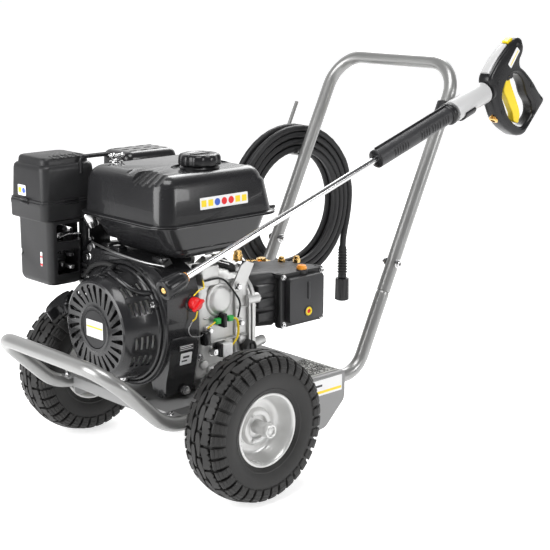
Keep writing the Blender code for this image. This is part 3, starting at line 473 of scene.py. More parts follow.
def ease(t):
    t = max(0.0, min(1.0, t))
    return t * t * (3 - 2 * t)


def coil_turns(lead_y, steps=44):
    """Clockwise turns, three layers deep, each sliding into the next place near its end."""
    entry = math.radians(165)
    points = []
    for index, (place, side) in enumerate(LAID):
        last = index == len(LAID) - 1
        ahead, ahead_side = LAID[index if last else index + 1]
        for k in range(round(steps * 145 / 360) if last else steps):
            share = k / steps
            move = ease((share - (0.80 if side == ahead_side else 0.62)) / 0.20)
            angle = entry - 2 * math.pi * share
            r = COIL_R + PITCH * (place + (ahead - place) * move) + 0.9 * math.sin(2 * angle + 1.9 * index)
            y = side + (ahead_side - side) * move + 0.5 * math.sin(3 * angle + index)
            y += 2 * math.sin(math.pi * move) * (1 if side > 0 else -1 if side < 0 else 0)
            if index == 0:
                y += (lead_y - COIL.y - side) * (1 - ease(share / 0.22))
            drop = 3.5 * max(0, -math.sin(angle)) * (0.6 + 0.4 * math.sin(2.1 * index))
            points.append(Vector((COIL.x + r * math.cos(angle), COIL.y + y, COIL.z + r * math.sin(angle)
                                  - drop)))
    return points


def hose():
    """One line: out of the pump, up into the coil, round it and down to the free end."""
    start = Vector((272, 141.2, 280))
    corner = Vector((start.x, 227, start.z))
    bend = corner + Vector((112.7, 0, 94.6))
    lead = rounded([start, corner, bend, bend + Vector((10.5, 0, 39.2))], (64, 125))
    turns = coil_turns(corner.y)
    foot = Vector((660, 186, 268.3))
    end = turns[-3:] + [(676.8, 186.2, 406), (676.8, 186, 370), (672, 186, 338), (665.5, 186, 312),
                        (661.2, 186, 290), foot]
    line = smooth_route(lead[:2] + lead[2:-1:2] + turns[:3], 10)[:-1]
    line += turns[3:-3] + smooth_route(end, 10)
    curve = bpy.data.curves.new("hose", "CURVE")
    curve.dimensions = "3D"
    curve.bevel_depth, curve.bevel_resolution = STRAND * MM / 2, 5
    curve.use_fill_caps = True
    spline = curve.splines.new("POLY")
    spline.points.add(len(line) - 1)
    for point, place in zip(spline.points, line):
        point.co = (*(place * MM), 1)
    spline.use_smooth = True
    obj = bpy.data.objects.new("hose", curve)
    bpy.context.scene.collection.objects.link(obj)
    curve.materials.append(HOSE)
    obj.location.x = SHIFT
    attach(obj, "trolley")
    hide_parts("hose_lead", "hose_coil", "hose_tail")

    def guard(bm):
        place = toward(foot, Z)
        lathe(bm, [(7, 6), (8.5, 4), (8.8, -58), (7.2, -60)], place, 24)
        for i in range(9):
            z = -3 - 6.2 * i
            grow = 1.8 * min(1.0, 0.4 + i * 0.12)
            lathe(bm, [(8.6, z + 1.6), (9 + grow, z + 1), (9.4 + grow, z), (9 + grow, z - 1),
                       (8.6, z - 1.6)], place, 24)

    sleeve = piece("hose_bend_guard_ribs", guard, RUBBER, nodes=("hose_bend_guard",))

    def connector(bm):
        place = toward((660, 186, 209.2), Z)
        lathe(bm, [(7.2, 2), (9.5, 1), (9.8, -6), (9, -7.5)], place, 32)
        outline = wave_ring(64, lambda a: 15.8 if round(a * 32 / math.pi) % 8 < 5 else 14.2)
        prism(bm, outline, place @ at(z=-56), 48, 0.8, 1, 0.95)
        lathe(bm, [(13, -57), (12, -57.8), (9.5, -57.8), (9.5, -50), (0, -50)], place, 32)

    nut = piece("hose_screw_connector", connector, PLASTIC, nodes=("hose_connector",))

    def union(bm):
        place = toward((272, 98.9, 280), Y)
        prism(bm, ring_of(6, 14.8), place, 13, 1, 1)
        lathe(bm, [(0, 0), (13, 0)], place, 6)
        lathe(bm, [(12.5, 13), (12.5, 18), (11, 20), (10.5, 33), (9.8, 40), (8, 42.4), (7.2, 42.4)], place,
              32)
        for i in range(4):
            z = 23 + 4 * i
            lathe(bm, [(10.4, z - 1.2), (11.8, z), (10.4, z + 1.2)], place, 32)

    end_piece = piece("hose_pump_union", union, DULL, nodes=("hose_union",))


# ---------------------------------------------------------------- wheels
def crown(h):
    return 130 - 2.6 * (h / 20) ** 2


def tread_block(bm, sections, height=5.5):
    """A block whose sections are (angle, inner h, outer h), on the crown."""
    rows = []
    for angle, low, high in sections:
        row = []
        for h, lift in ((low, 0), (low, -height), (high, -height), (high, 0)):
            r = crown(h) + lift
            row.append(bm.verts.new((r * math.cos(angle), r * math.sin(angle), h)))
        rows.append(row)
    solid(bm, rows)


def tyre_mesh(bm):
    flank = [(60, 26.5), (62.5, 31), (66, 34.8), (70, 36.6), (70.6, 37.4), (72.2, 37.6), (73, 37), (78, 39),
             (86, 40.7), (95, 41), (103, 39.8), (110, 36.8), (116, 32), (120.5, 25), (123.2, 15), (124.6, 0)]
    profile = flank + [(r, -h) for r, h in reversed(flank[:-1])]
    lathe(bm, profile + [(59, 0)], Matrix.Identity(4), 96, closed=True)
    count = 18
    step = 2 * math.pi / count
    for i in range(count):
        for side in (-1, 1):
            base = step * (i + (0.5 if side > 0 else 0))
            wave = [(0.04, 2.2, 8.5), (0.20, 0.8, 10.5), (0.42, 0.8, 11.8), (0.58, 2.2, 11.8),
                    (0.78, 3.6, 10.5), (0.95, 3.6, 8)]
            tread_block(bm, [(base + step * t, side * a, side * b) for t, a, b in wave])
            teeth = [(0.06, 12.5, 24), (0.16, 11.8, 26.8), (0.24, 11.8, 27.2), (0.28, 12.2, 25),
                     (0.32, 12.8, 25), (0.36, 13.2, 27.6), (0.46, 14, 28), (0.50, 14.2, 25.6),
                     (0.54, 14.2, 25.6), (0.58, 14, 28.2), (0.70, 13.2, 28.4), (0.74, 12.8, 26.2),
                     (0.80, 12.2, 26.2), (0.86, 12, 27.2), (0.95, 12.5, 25)]
            tread_block(bm, [(base + step * (t + 0.5), side * a, side * b) for t, a, b in teeth])
    lugs = 36
    step = 2 * math.pi / lugs
    stairs = [(123.6, 30.2), (124, 33), (121.2, 36.2), (119.6, 36), (119, 37.4), (116, 39.8), (114.2, 39.4),
              (113.4, 40.8), (109.8, 42.2), (108, 41.6), (107, 42.4), (101, 42.5), (99, 40.5), (109, 33),
              (117, 29)]
    for i in range(lugs):
        for side in (-1, 1):
            rows = []
            for t in (0.12, 0.36, 0.60, 0.86):
                angle = step * (i + t)
                rows.append([bm.verts.new((r * math.cos(angle), r * math.sin(angle), side * h)) for r,
                             h in stairs])
            solid(bm, rows)


def rim_mesh(bm):
    profile = [(63.2, 34.2), (64, 33.2), (63.6, 31.8), (60, 29), (58.8, 20), (53, 12), (53, -12),
               (58.8, -20), (60, -29), (63.6, -31.8), (64, -33.2), (63.2, -34.2), (61, -34.6), (59, -33),
               (57, -27), (56, -18), (51.5, -10.5), (49, -4), (40, -2), (15, -3), (14, -36), (8.6, -36.2),
               (8.6, 32), (11.2, 32.2), (11.8, 31), (11.9, 5), (15, 4.2), (19.5, 4.4), (20, 10),
               (21.2, 11.2), (28, 11.2), (29.8, 10), (33, 3), (40, 2), (47, 2.4), (50.2, 6), (52, 10.5),
               (56, 18), (57, 27), (59, 33), (61, 34.6), ]
    lathe(bm, profile, Matrix.Identity(4), 96, closed=True)
    valve = turned(200, "Z") @ toward((45.5, 0, 2), (0.1, 0, 1))
    lathe(bm, [(0, 17), (3, 16.8), (3.4, 15.5), (3.4, 10), (2.8, 9.5), (4, 4), (5.8, 0)], valve, 16)
    for x, y in ring_of(3, 25):
        bolt(bm, (x, y, 10.8), Z, 2.8, 1.8)


def wheels():
    for side, name in ((-1, "left"), (1, "right")):
        place = toward((0, side * 245, 130), (0, side, 0), X)

        def placed(make, bm, place=place):
            make(bm)
            bmesh.ops.transform(bm, matrix=place, verts=bm.verts)

        body = "wheel_" + name
        piece("tyre_tread_" + name, lambda bm: placed(tyre_mesh, bm), TYRE, body, ("tyre_" + name,),
              angle=32, bevel=0.5, seg=1)
        piece("rim_disc_" + name, lambda bm: placed(rim_mesh, bm), RIM, body, ("rim_" + name,), angle=50)

        def cap(bm, side=side):
            place = toward((0, side * 277.5, 130), (0, side, 0))
            lathe(bm, [(11.8, 0), (11.8, 3), (12.2, 4), (12.2, 8.4), (11.2, 9.6), (9.2, 9.6), (8.2, 8.5),
                       (8, 6.6), (0, 6.4)], place, 48)
            lathe(bm, [(0, 7.8), (5.2, 7.8), (6.2, 7), (6.4, 6)], place, 32)

        piece("hub_cap_" + name, cap, RIM, nodes=("axle_cap_" + name,), angle=40)


# ---------------------------------------------------------------- trolley
def trolley():
    rise = math.radians(43.5)
    bumper = (-240, 0, RUN_Z + math.tan(rise) * 120.5)
    low = 278

    def chassis(bm):
        half = [leg_point(low - 0.3, -1), Vector((LEG_X, -SIDE_Y, RUN_Z)), Vector((-119.5, -SIDE_Y, RUN_Z)),
                Vector((bumper[0], -SIDE_Y, bumper[2]))]
        other = [Vector((p.x, -p.y, p.z)) for p in reversed(half)]
        path = rounded(half + other, (55, 90, 56, 56, 90, 55), math.radians(5))
        ends = []
        for side in (-1, 1):
            ends.append([(leg_point(low + 4, side), 10.4), (leg_point(low - 0.4, side), 10.8),
                         (leg_point(low - 3, side), 12.2), (leg_point(low - 6.5, side), TUBE_R)])
        points = [p for p, _ in ends[0]] + path[1:-1] + [p for p, _ in reversed(ends[1])]
        radii = [r for _, r in ends[0]] + [TUBE_R] * (len(path) - 2) + [r for _, r in reversed(ends[1])]
        sweep(bm, points, radii, 36)

    piece("frame_loop", chassis, FRAME, nodes=("chassis_tube",))

    def bow(bm):
        path = rounded([leg_point(low, -1), leg_point(695.2, -1), leg_point(695.2, 1), leg_point(low, 1)],
                       (68, 68), math.radians(5))
        sweep(bm, path, TUBE_R, 36, caps=False)
        for side in (-1, 1):
            end = toward(leg_point(low, side), LEG_DIR)
            lathe(bm, [(TUBE_R, 0), (TUBE_R - 0.4, -0.4), (10.8, -0.4), (10.8, 30)], end, 36)

    piece("push_bow", bow, FRAME, nodes=("push_handle",), angle=50)

    for side, name in ((-1, "left"), (1, "right")):
        def through(bm, side=side):
            middle = leg_point(329, side)
            outward = Vector((0, side, 0))
            bolt(bm, middle + outward * 12.9, outward, 6.2, 5.5, "socket")
            bolt(bm, middle - outward * 12.9, -outward, 6.4, 6)
            sweep(bm, [middle - outward * 13, middle - outward * 23.5], 3.6, 16)

        piece("handle_screw_" + name, through, STEEL, nodes=("handle_bolt_" + name,), angle=30)

    def hook(bm):
        z = COIL.z + COIL_R - 28 - 4.4
        leg = leg_point(z, 1)
        corner = Vector((COIL.x + 4, 240, z))
        path = rounded([(leg.x, leg.y + 8, z), corner, corner + LEG_DIR * 112], (12,))
        sweep(bm, path, 4, 20)
        tip = toward(path[-1], LEG_DIR)
        lathe(bm, [(4, 0), (3.4, 1.2), (0, 1.6)], tip, 20)
        lathe(bm, [(4.2, 9), (6, 6), (7.8, 4.5)], toward((leg.x, leg.y + 8, z), (0, 1, 0)), 24)

    piece("hose_hanger", hook, FRAME, nodes=("hose_hook",))


def deck():
    top, thick = 149, 3
    plate = soften([(125, top), (290, top), (290, 96), (240, 50), (196, 44), (180, 10), (142, 10), (135, 60),
                    (125, 90)], 6)
    web = soften([(-100, top - 1), (-100, 112), (240, 112), (240, top - 1)], 18)

    def build(bm):
        block(bm, (-100, -135, top - thick), (126.2, 135, top - 0.1), 1.2)
        block(bm, (125, -177.5, top - thick), (290, 177.5, top), 1.2)
        block(bm, (-100.3, -134.5, 129), (-97, 134.5, top), 1.2)
        block(bm, (287, -150, 118), (290, 150, top), 1.2)
        for side in (-1, 1):
            for outline, y in ((plate, 177.5), (web, 135)):
                place = toward((0, side * y, 0), (0, -side, 0), X)
                up = place.to_3x3().col[1].z
                prism(bm, [(x, z * up) for x, z in outline], place, thick, 0.6, 1)
            for x in (-85, 60, 220):
                bolt(bm, (x, side * 135.5, 131), (0, side, 0), 4.5, 3.5)
            for x, wide in ((-112, 24), (105, 30)):
                block(bm, (x, side * 148 - 14, top - 3.2), (x + wide, side * 148 + 13, top - 0.2), 0.8, 1)

    piece("deck_sheet", build, DECK, nodes=("platform",), angle=40)

    def screws(bm):
        for side in (-1, 1):
            bolt(bm, (-102, side * 150, top), Z, 4.2, 3.4)
            for x in (20, 106):
                y = -106 if side < 0 else 90
                bolt(bm, (x, y, 173.5), Z, 6.2, 5.5)
        bolt(bm, (-90, -60, top), Z, 5, 4.5)

    piece("deck_screws", screws, STEEL, angle=30)

    label("deck_plate", at(229, -177.6, 129) @ UPRIGHT, (106, 30), "trolley", [(0, -8.5, 102, 5, 1),
                                                                               (-24, 4, 50, 4, 2),
                                                                               (-34, 10.5, 30, 1.6, 2)])

    piece("step_mat_base", lambda bm: block(bm, (168, -166, top + 0.3), (284, -78, top + 1.2), 0.6, 1), MAT,
          nodes=("step_mat",))

    def grit(bm):
        seed = 7
        for i in range(26):
            for j in range(20):
                seed = (seed * 1103515245 + 12345) % 2147483648
                shift = (seed >> 8) % 100 / 100
                seed = (seed * 1103515245 + 12345) % 2147483648
                turn = (seed >> 8) % 314 / 100
                if shift < 0.22:
                    continue
                x = 174.5 + i * 4.15 + shift * 1.6
                y = -160.5 + j * 4.1 + shift * 1.8
                place = at(x, y, top + 1) @ Matrix.Rotation(turn, 4, "Z")
                size = 1.1 + 0.6 * shift
                prism(bm, [(-size * 1.7, -size * 0.7), (size * 1.1, -size), (size * 1.6, size * 0.6),
                           (-size, size * 0.9)], place, 0.6, 0, 1, 0.7)

    piece("step_mat_grit", grit, MAT_DARK)

    for side, name in ((-1, "left"), (1, "right")):
        def shoe(bm, side=side):
            y = side * 176
            block(bm, (136.2, y - 9.8, 0), (184.8, y + 9.8, 19.8), 3, 3)
            for i in range(5):
                x = 142 + i * 8.8
                block(bm, (x, y - 10.2, 3.5), (x + 3.6, y + 10.2, 16.5), 0.8, 1)

        piece("rubber_shoe_" + name, shoe, RUBBER, nodes=("stand_foot_" + name,))


def label(name, place, size, body, marks=(), base=WHITE, extra=(YELLOW, INK, BLUE, RED), round_by=2):
    """A thin plate with coloured marks: (x, y, w, h, material index); w of 0 makes a disc of radius h."""
    w, h = size
    outline = soften([(-w / 2, -h / 2), (w / 2, -h / 2), (w / 2, h / 2), (-w / 2, h / 2)], round_by, 3)

    def build(bm):
        prism(bm, outline, place, 0.3)
        before = set(bm.faces)
        for x, y, mw, mh, index in marks:
            if mw:
                flat = [(x - mw / 2, y - mh / 2), (x + mw / 2, y - mh / 2), (x + mw / 2, y + mh / 2),
                        (x - mw / 2, y + mh / 2)]
            else:
                flat = [(x + a, y + b) for a, b in ring_of(20, mh)]
            prism(bm, flat, place @ at(z=0.2), 0.2)
            for face in set(bm.faces) - before:
                face.material_index = index
            before = set(bm.faces)

    return piece(name, build, base, body, angle=30, extra=extra)


# ---------------------------------------------------------------- engine
ACROSS = Matrix(((0, 0, 1), (1, 0, 0), (0, 1, 0))).to_4x4()      # outlines in Y and Z, raised along +X
UPRIGHT = Matrix(((1, 0, 0), (0, 0, -1), (0, 1, 0))).to_4x4()    # outlines in X and Z, raised along -Y
CRANK = Vector((0, 0, CRANK_Z))
TILT = Vector((0, math.cos(0.4363), math.sin(0.4363)))            # the cylinder leans away by 25 degrees


def loft(bm, sections, steps=6, place=None):
    """Rounded rectangles (z, x0, x1, y0, y1, radius) joined from one to the next, closed at both ends."""
    rings = []
    for z, x0, x1, y0, y1, r in sections:
        r = max(0.5, min(r, (x1 - x0) / 2.01, (y1 - y0) / 2.01))
        ring = []
        for cx, cy, first in ((x1 - r, y1 - r, 0), (x0 + r, y1 - r, 90), (x0 + r, y0 + r, 180),
                              (x1 - r, y0 + r, 270)):
            for k in range(steps + 1):
                a = math.radians(first + 90 * k / steps)
                p = Vector((cx + r * math.cos(a), cy + r * math.sin(a), z))
                ring.append(bm.verts.new(place @ p if place is not None else p))
        rings.append(ring)
    solid(bm, rings)


def shell(z0, z1, near, far, radius, corner, count=6):
    """Sections from an open edge at z0 to a face at z1 whose rim is rounded."""
    sign = 1 if z1 > z0 else -1
    bend = z1 - sign * radius
    share = (bend - z0) / (z1 - z0)
    mid = [a + (b - a) * share for a, b in zip(near, far)]
    made = [(z0, *near, corner), (bend, *mid, corner)]
    for k in range(1, count + 1):
        a = math.pi / 2 * k / count
        inset, z = radius * (1 - math.cos(a)), z1 - sign * radius * (1 - math.sin(a))
        x0, x1, y0, y1 = far
        made.append((z, x0 + inset, x1 - inset, y0 + inset, y1 - inset, corner - inset * 0.8))
    return made


def capsule(bm, a, b, r, sides=20):
    """A round-ended bar."""
    a, b = Vector(a), Vector(b)
    length = (b - a).length
    profile = [(0, -r)] + [(r * math.cos(t), r * math.sin(t)) for t in (-1.2, -0.8, -0.4, 0)]
    profile += [(r * math.cos(t), length + r * math.sin(t)) for t in (0, 0.4, 0.8, 1.2)] + [(0, length + r)]
    lathe(bm, profile, toward(a, b - a), sides)


def tank():
    def build(bm):
        loft(bm, shell(459.8, 540, (-88, 170, -120, 116), (-83, 150, -115, 111), 24, 30, 8), 10)

    def cuts(bm):
        for i in range(4):
            y = -93 + 18.5 * i
            capsule(bm, (-104, y - 6, 523), (-56 + 5 * i, y + 6, 550), 11.2)
        capsule(bm, (-96, -14, 548), (-30, -8, 560), 19)
        ring = []
        for k in range(25):
            a = math.pi / 2 + math.pi * k / 24
            ring.append((46 + 46 * math.cos(a), -50 + 46 * math.sin(a)))
        ring += [(98 - p[0] + 46, -100 - p[1]) for p in ring]
        prism(bm, ring, at(z=536.5), 20, 0, 1, 1.10)

    piece("tank_upper_shell", build, TANK, nodes=("fuel_tank",), angle=32, bevel=2.2, seg=3, cuts=cuts)

    piece("tank_lower_shell", lambda bm: loft(bm, shell(456.2, 392, (-80, 164, -112, 108),
                                                        (-42, 144, -98, 92), 20, 28, 8), 10), TANK, angle=32)

    def flange(bm):
        lips = ((454.5, 5), (454.9, 7.6), (455.8, 8), (456.6, 7.8), (457.1, 5.8), (457.8, 5.8), (458.3, 7.8),
                (459.2, 8), (460, 7.6), (460.6, 5), (461.2, 1))
        loft(bm, [(z, -88 - out, 170 + out, -120 - out, 116 + out, 30 + out) for z, out in lips], 10)
        capsule(bm, (170, -100, 461.2), (179.5, -100, 461.2), 3.4)

    piece("tank_seam", flange, TANK, angle=30)

    piece("tank_neck", lambda bm: lathe(bm, [(30, 536), (34.5, 536.5), (35, 540), (33, 543), (30, 543.6),
                                             (25, 543.6), (25, 536)], at(50, -50), 48, closed=True), GLOSS)

    def cap(bm):
        lobes = 8
        outline = wave_ring(96, lambda a: 36 + 1.3 * math.tanh(3.5 * math.cos(lobes * a) + 1.5))
        place = at(50, -50)
        rings = ((544.6, 0.94), (545.2, 0.985), (547, 1.0), (557.5, 0.985), (560.8, 0.955), (563, 0.90),
                 (564, 0.80), (563.6, 0.62), (562.8, 0.56), (563, 0.30))
        loops = []
        for z, k in rings:
            blend = 0 if k > 0.9 else min(1.0, (0.9 - k) * 3)
            loop = []
            for x, y in outline:
                p = Vector((x, y, 0))
                p = p.lerp(p.normalized() * 36.5, blend) * k
                loop.append(bm.verts.new(place @ (p + Vector((0, 0, z)))))
            loops.append(loop)
        solid(bm, loops)
        lathe(bm, [(0, 537), (19, 537), (19, 544.8), (0, 544.8)], place, 32)

    piece("filler_cap", cap, GLOSS, "tank_cap", ("fuel_cap",), angle=50)

    piece("filler_cap_bar", lambda bm: block(bm, (30, -53.5, 563), (70, -46.5, 564.5), 1.2), GLOSS,
          "tank_cap")
    face = at(46, -118.9, 490) @ turned(-3.5, "X") @ UPRIGHT
    marks = [(-45.5, 0, 11, 11, 1), (-30.5, 0, 11, 11, 1), (-15.5, 0, 0, 6.2, 3), (0, 0, 0, 6.2, 4),
             (15.5, 0, 0, 6.2, 4), (30.5, 0, 11, 11, 1), (45.5, 0, 11, 11, 1)]
    label("tank_strip", face, (108, 20), "trolley", marks)

    def clamp(bm):
        route = rounded([(-70, 134, 520), (-70, 134, 549), (-24, 110, 553)], (10,))
        sweep(bm, route, 3.8, 16)

    piece("tank_stay", clamp, GLOSS)

    def nut(bm):
        lathe(bm, [(0, 0), (12, 0), (12, 1.6), (8.5, 2.2), (8.5, 3)], at(-20, 96, 539.8), 32)
        prism(bm, ring_of(6, 7.5), at(-20, 96, 542), 5.5, 0.6, 1)
        sweep(bm, [(-38, 96, 550), (-4, 96, 550)], 3.4, 16)
        for x in (-34, -28, -10):
            lathe(bm, [(3.4, 0), (5.6, 0.6), (5.6, 2.8), (3.4, 3.4)], toward((x, 96, 550), X), 20)

    piece("tank_clamp", nut, STEEL, angle=30)


def air_filter():
    def base(bm):
        loft(bm, [(440, -150, -38, 134, 238, 10), (441, -153, -35, 131, 241, 12),
                  (444, -154, -34, 130, 242, 13), (464, -154, -34, 130, 242, 13),
                  (465.5, -154.8, -33.5, 129.5, 242.5, 13.5), (472, -154.8, -33.5, 129.5, 242.5, 13.5)], 8)

    def hollow_base(bm):
        loft(bm, [(444, -150, -38, 134, 238, 9), (480, -150, -38, 134, 238, 9)])

    piece("filter_base", base, PLASTIC, nodes=("air_filter_base",), bevel=0.6, cuts=hollow_base)

    def element(bm):
        for i in range(26):
            x = -142 + i * 3.7
            block(bm, (x, 142, 444.5), (x + 2.2, 230, 471.5), 0.6, 1)

    piece("filter_element", element, MAT)

    def lid(bm):
        loft(bm, [(472.3, -153.5, -34.5, 130.5, 241.5, 13), (476, -153.5, -34.5, 130.5, 241.5, 13),
                  (476.4, -151.4, -36.6, 132.6, 239.4, 13), (528, -150, -38, 134, 238, 15),
                  (534, -149, -39, 135, 237, 15), (537.2, -146.2, -41.8, 137.8, 234.2, 14),
                  (538, -144, -44, 140, 232, 13), (538.8, -143.2, -44.8, 140.8, 231.2, 13),
                  (547, -142.2, -45.8, 141.8, 230.2, 13), (550, -140.2, -47.8, 143.8, 228.2, 12),
                  (551, -137.2, -50.8, 146.8, 225.2, 11)], 8)

    def hollow(bm):
        loft(bm, [(465, -147, -41, 137, 235, 9), (524, -146, -42, 138, 234, 9)])
        for i in range(4):
            x = -113 + 16.5 * i
            capsule(bm, (x, 130, 556), (x + 4, 162, 556), 7.2)

    piece("filter_lid_shell", lid, PLASTIC, "filter_lid", ("air_filter_cover",), bevel=0.7, cuts=hollow)

    def ribs(bm):
        for i in range(4):
            x = -121.5 + 16.5 * i
            capsule(bm, (x, 144, 549), (x + 4, 160, 550.5), 2.6, 12)

    piece("filter_lid_ribs", ribs, PLASTIC, "filter_lid")
    face = at(-151.6, 200, 490.5) @ turned(180, "Z") @ ACROSS
    label("filter_sticker", face, (25, 19), "filter_lid", [(-6, 0, 9, 9, 1), (6, 0, 0, 4.8, 3)])
    catches = (("filter_catch_low", "trolley", 468, 1.5), ("filter_catch_high", "filter_lid", 474.5, 0))
    for name, body, z, lip in catches:

        def catch(bm, z=z, lip=lip):
            block(bm, (-110, 128.2, z), (-80, 130.5 + lip, z + 3.6), 0.8)
            block(bm, (-157.2, 175, z), (-154.6, 199, z + 3.6), 0.8)

        piece(name, catch, GLOSS, body)

    def cover(bm):
        loft(bm, [(322, -132, -80, 142, 224, 10), (323.6, -137, -75, 137, 229, 12),
                  (327, -140, -72, 134, 232, 12), (334, -142, -70, 132, 234, 12),
                  (435, -142, -70, 132, 234, 12), (439.7, -144, -68, 131, 235, 12)], 8)

    def windows(bm):
        block(bm, (-138, 138, 330), (-74.5, 228, 432), 0)
        block(bm, (-127, 120, 342), (-80, 150, 386), 4, 3)
        block(bm, (-127, 120, 401), (-60, 150, 433), 3, 3)
        block(bm, (-150, 218, 369), (-136, 240, 379), 2, 2)
        block(bm, (-79, 158, 372), (-60, 202, 418), 3, 2)

    piece("carburettor_guard", cover, PLASTIC, nodes=("control_cover",), bevel=1, cuts=windows)
    face = at(-142.1, 160, 370) @ turned(180, "Z") @ ACROSS
    label("guard_mark", face, (6, 26), "trolley", [(0, 4, 6, 3, 4), (0, -10, 6, 4, 4)])


def carburettor():
    def body(bm):
        block(bm, (-115, 160, 370), (-64, 200, 412), 4, 2)
        lathe(bm, [(0, 0), (13, 0), (16.8, 1.6), (18, 4), (18, 20), (19.6, 21), (19.6, 25), (18, 26),
                   (16, 33)], at(-100, 180, 341), 32)
        prism(bm, ring_of(6, 6), at(-100, 180, 336), 6, 0.6, 1)
        for x, y in ((-110, 166), (-72, 166), (-110, 194), (-72, 194)):
            lathe(bm, [(0, 5), (3, 4.6), (3.6, 0), ], at(x, y, 411.8), 16)
        lathe(bm, [(14, 0), (14, 60), (19, 62), (19, 68)], toward((-70, 180, 395), (70, -12, -20)), 28)
        sweep(bm, [(-90, 160, 418), (-90, 199, 418)], 5, 16)

    piece("carburettor_casting", body, ZINC, nodes=("carburettor",), bevel=0.6)

    def screws(bm):
        for x, z in ((-108, 376), (-70, 376), (-89, 404)):
            lathe(bm, [(0, 2.2), (2.6, 2.2), (3.2, 1.4), (3.4, 0)], near(x, 160, z), 16)
        sweep(bm, smooth_route([(-112, 156, 402), (-92, 150, 410), (-70, 142, 409.5)], 4), 1.8, 10)
        block(bm, (-112, 153, 399), (-100, 155, 414), 0.8)

    piece("carburettor_screws", screws, STEEL)
    handles = (("choke_handle", "choke", 378, GLOSS), ("fuel_handle", "fuel_valve", 356, DULL))
    for name, body, z, material in handles:

        def lever(bm, z=z):
            flat = [(-3, 2), (3, 2), (3, -16), (5.2, -24), (4.6, -33), (0, -34.5), (-4.6, -33), (-5.2, -24),
                    (-3, -16)]
            prism(bm, soften(flat, 2, 2), at(-102, 156, z - 2.8), 5.6, 1, 2)
            lathe(bm, [(0, 4), (5, 3.8), (5.8, 3), (5.8, -3)], at(-102, 154.5, z), 20)

        piece(name, lever, material, body, (body + "_lever",))

    def arm(bm):
        prism(bm, soften([(-3.6, -4.5), (3.6, -4.5), (3, 44.5), (-3, 44.5)], 2, 3),
              at(-60, 126.8, 401) @ UPRIGHT, 2.4, 0.4, 1)
        lathe(bm, [(0, 4.5), (3, 4.3), (4.6, 3), (4.6, 0)], near(-60, 124.4, 401), 16)

    piece("throttle_arm", arm, STEEL, "throttle", ("throttle_lever",))

    def linkage(bm):
        sweep(bm, smooth_route([(-62, 118, 396), (-72, 60, 394), (-76, 0, 391.5), (-72, -50, 388),
                                (-58, -84, 385)], 10), 2.2, 10)
        bolt(bm, (-66, 112, 388), (-1, 0, 0), 6, 6)

    piece("governor_rod", linkage, DULL)

    def pipe(bm):
        route = smooth_route([(-74, 170, 334), (-74, 128, 336), (-82, 90, 360), (-86, 40, 373),
                              (-82, -10, 364), (-70, -60, 372), (-40, -80, 390)], 6)
        sweep(bm, route, 4.2, 16)
        for k in (10, 30):
            lathe(bm, [(4.2, -3), (5.2, -3), (5.2, 3), (4.2, 3)], toward(route[k], route[k + 1] - route[k]),
                  20)

    piece("fuel_pipe", pipe, RUBBER)

    piece("solenoid_can", lambda bm: lathe(bm, [(0, -2), (10, -2), (11.2, 0), (11.2, 24), (10, 26),
                                                (0, 26.2)], toward((-64, 110, 429), (-0.4, 0.1, 0.9)), 32),
          STEEL)

    def bracket(bm):
        prism(bm, soften([(-10, 300), (10, 300), (16, 388), (-16, 388)], 6, 3), at(-70, 116) @ ACROSS, 2.4,
              0.4, 1)
        bolt(bm, (-71.2, 116, 336), (-1, 0, 0), 5.2, 5)
        bolt(bm, (-71.2, 116, 372), (-1, 0, 0), 5.2, 5)

    piece("guard_bracket", bracket, STEEL)


def on_case(x, radius, degrees):
    """A point at this radius and angle about the crankshaft, seen along +X; 90 is up, 180 the near side."""
    a = math.radians(degrees)
    return Vector((x, radius * math.cos(a), CRANK_Z + radius * math.sin(a)))


def turned_slot(bm, place, radius0, radius1, middle, width0, width1, swirl):
    """A tapering slot with round ends between two radii of a flat face."""
    points = []
    for r, w, first in ((radius0, width0, 180), (radius1, width1, 0)):
        a = middle + swirl * (r - radius0) / (radius1 - radius0)
        out = Vector((math.cos(a), math.sin(a)))
        side = Vector((-out.y, out.x))
        for k in range(7):
            t = math.radians(first - 90 + 180 * k / 6)
            p = out * r + (out * math.cos(t) + side * math.sin(t)) * w / 2
            points.append((p.x, p.y))
    prism(bm, points, place, 30)


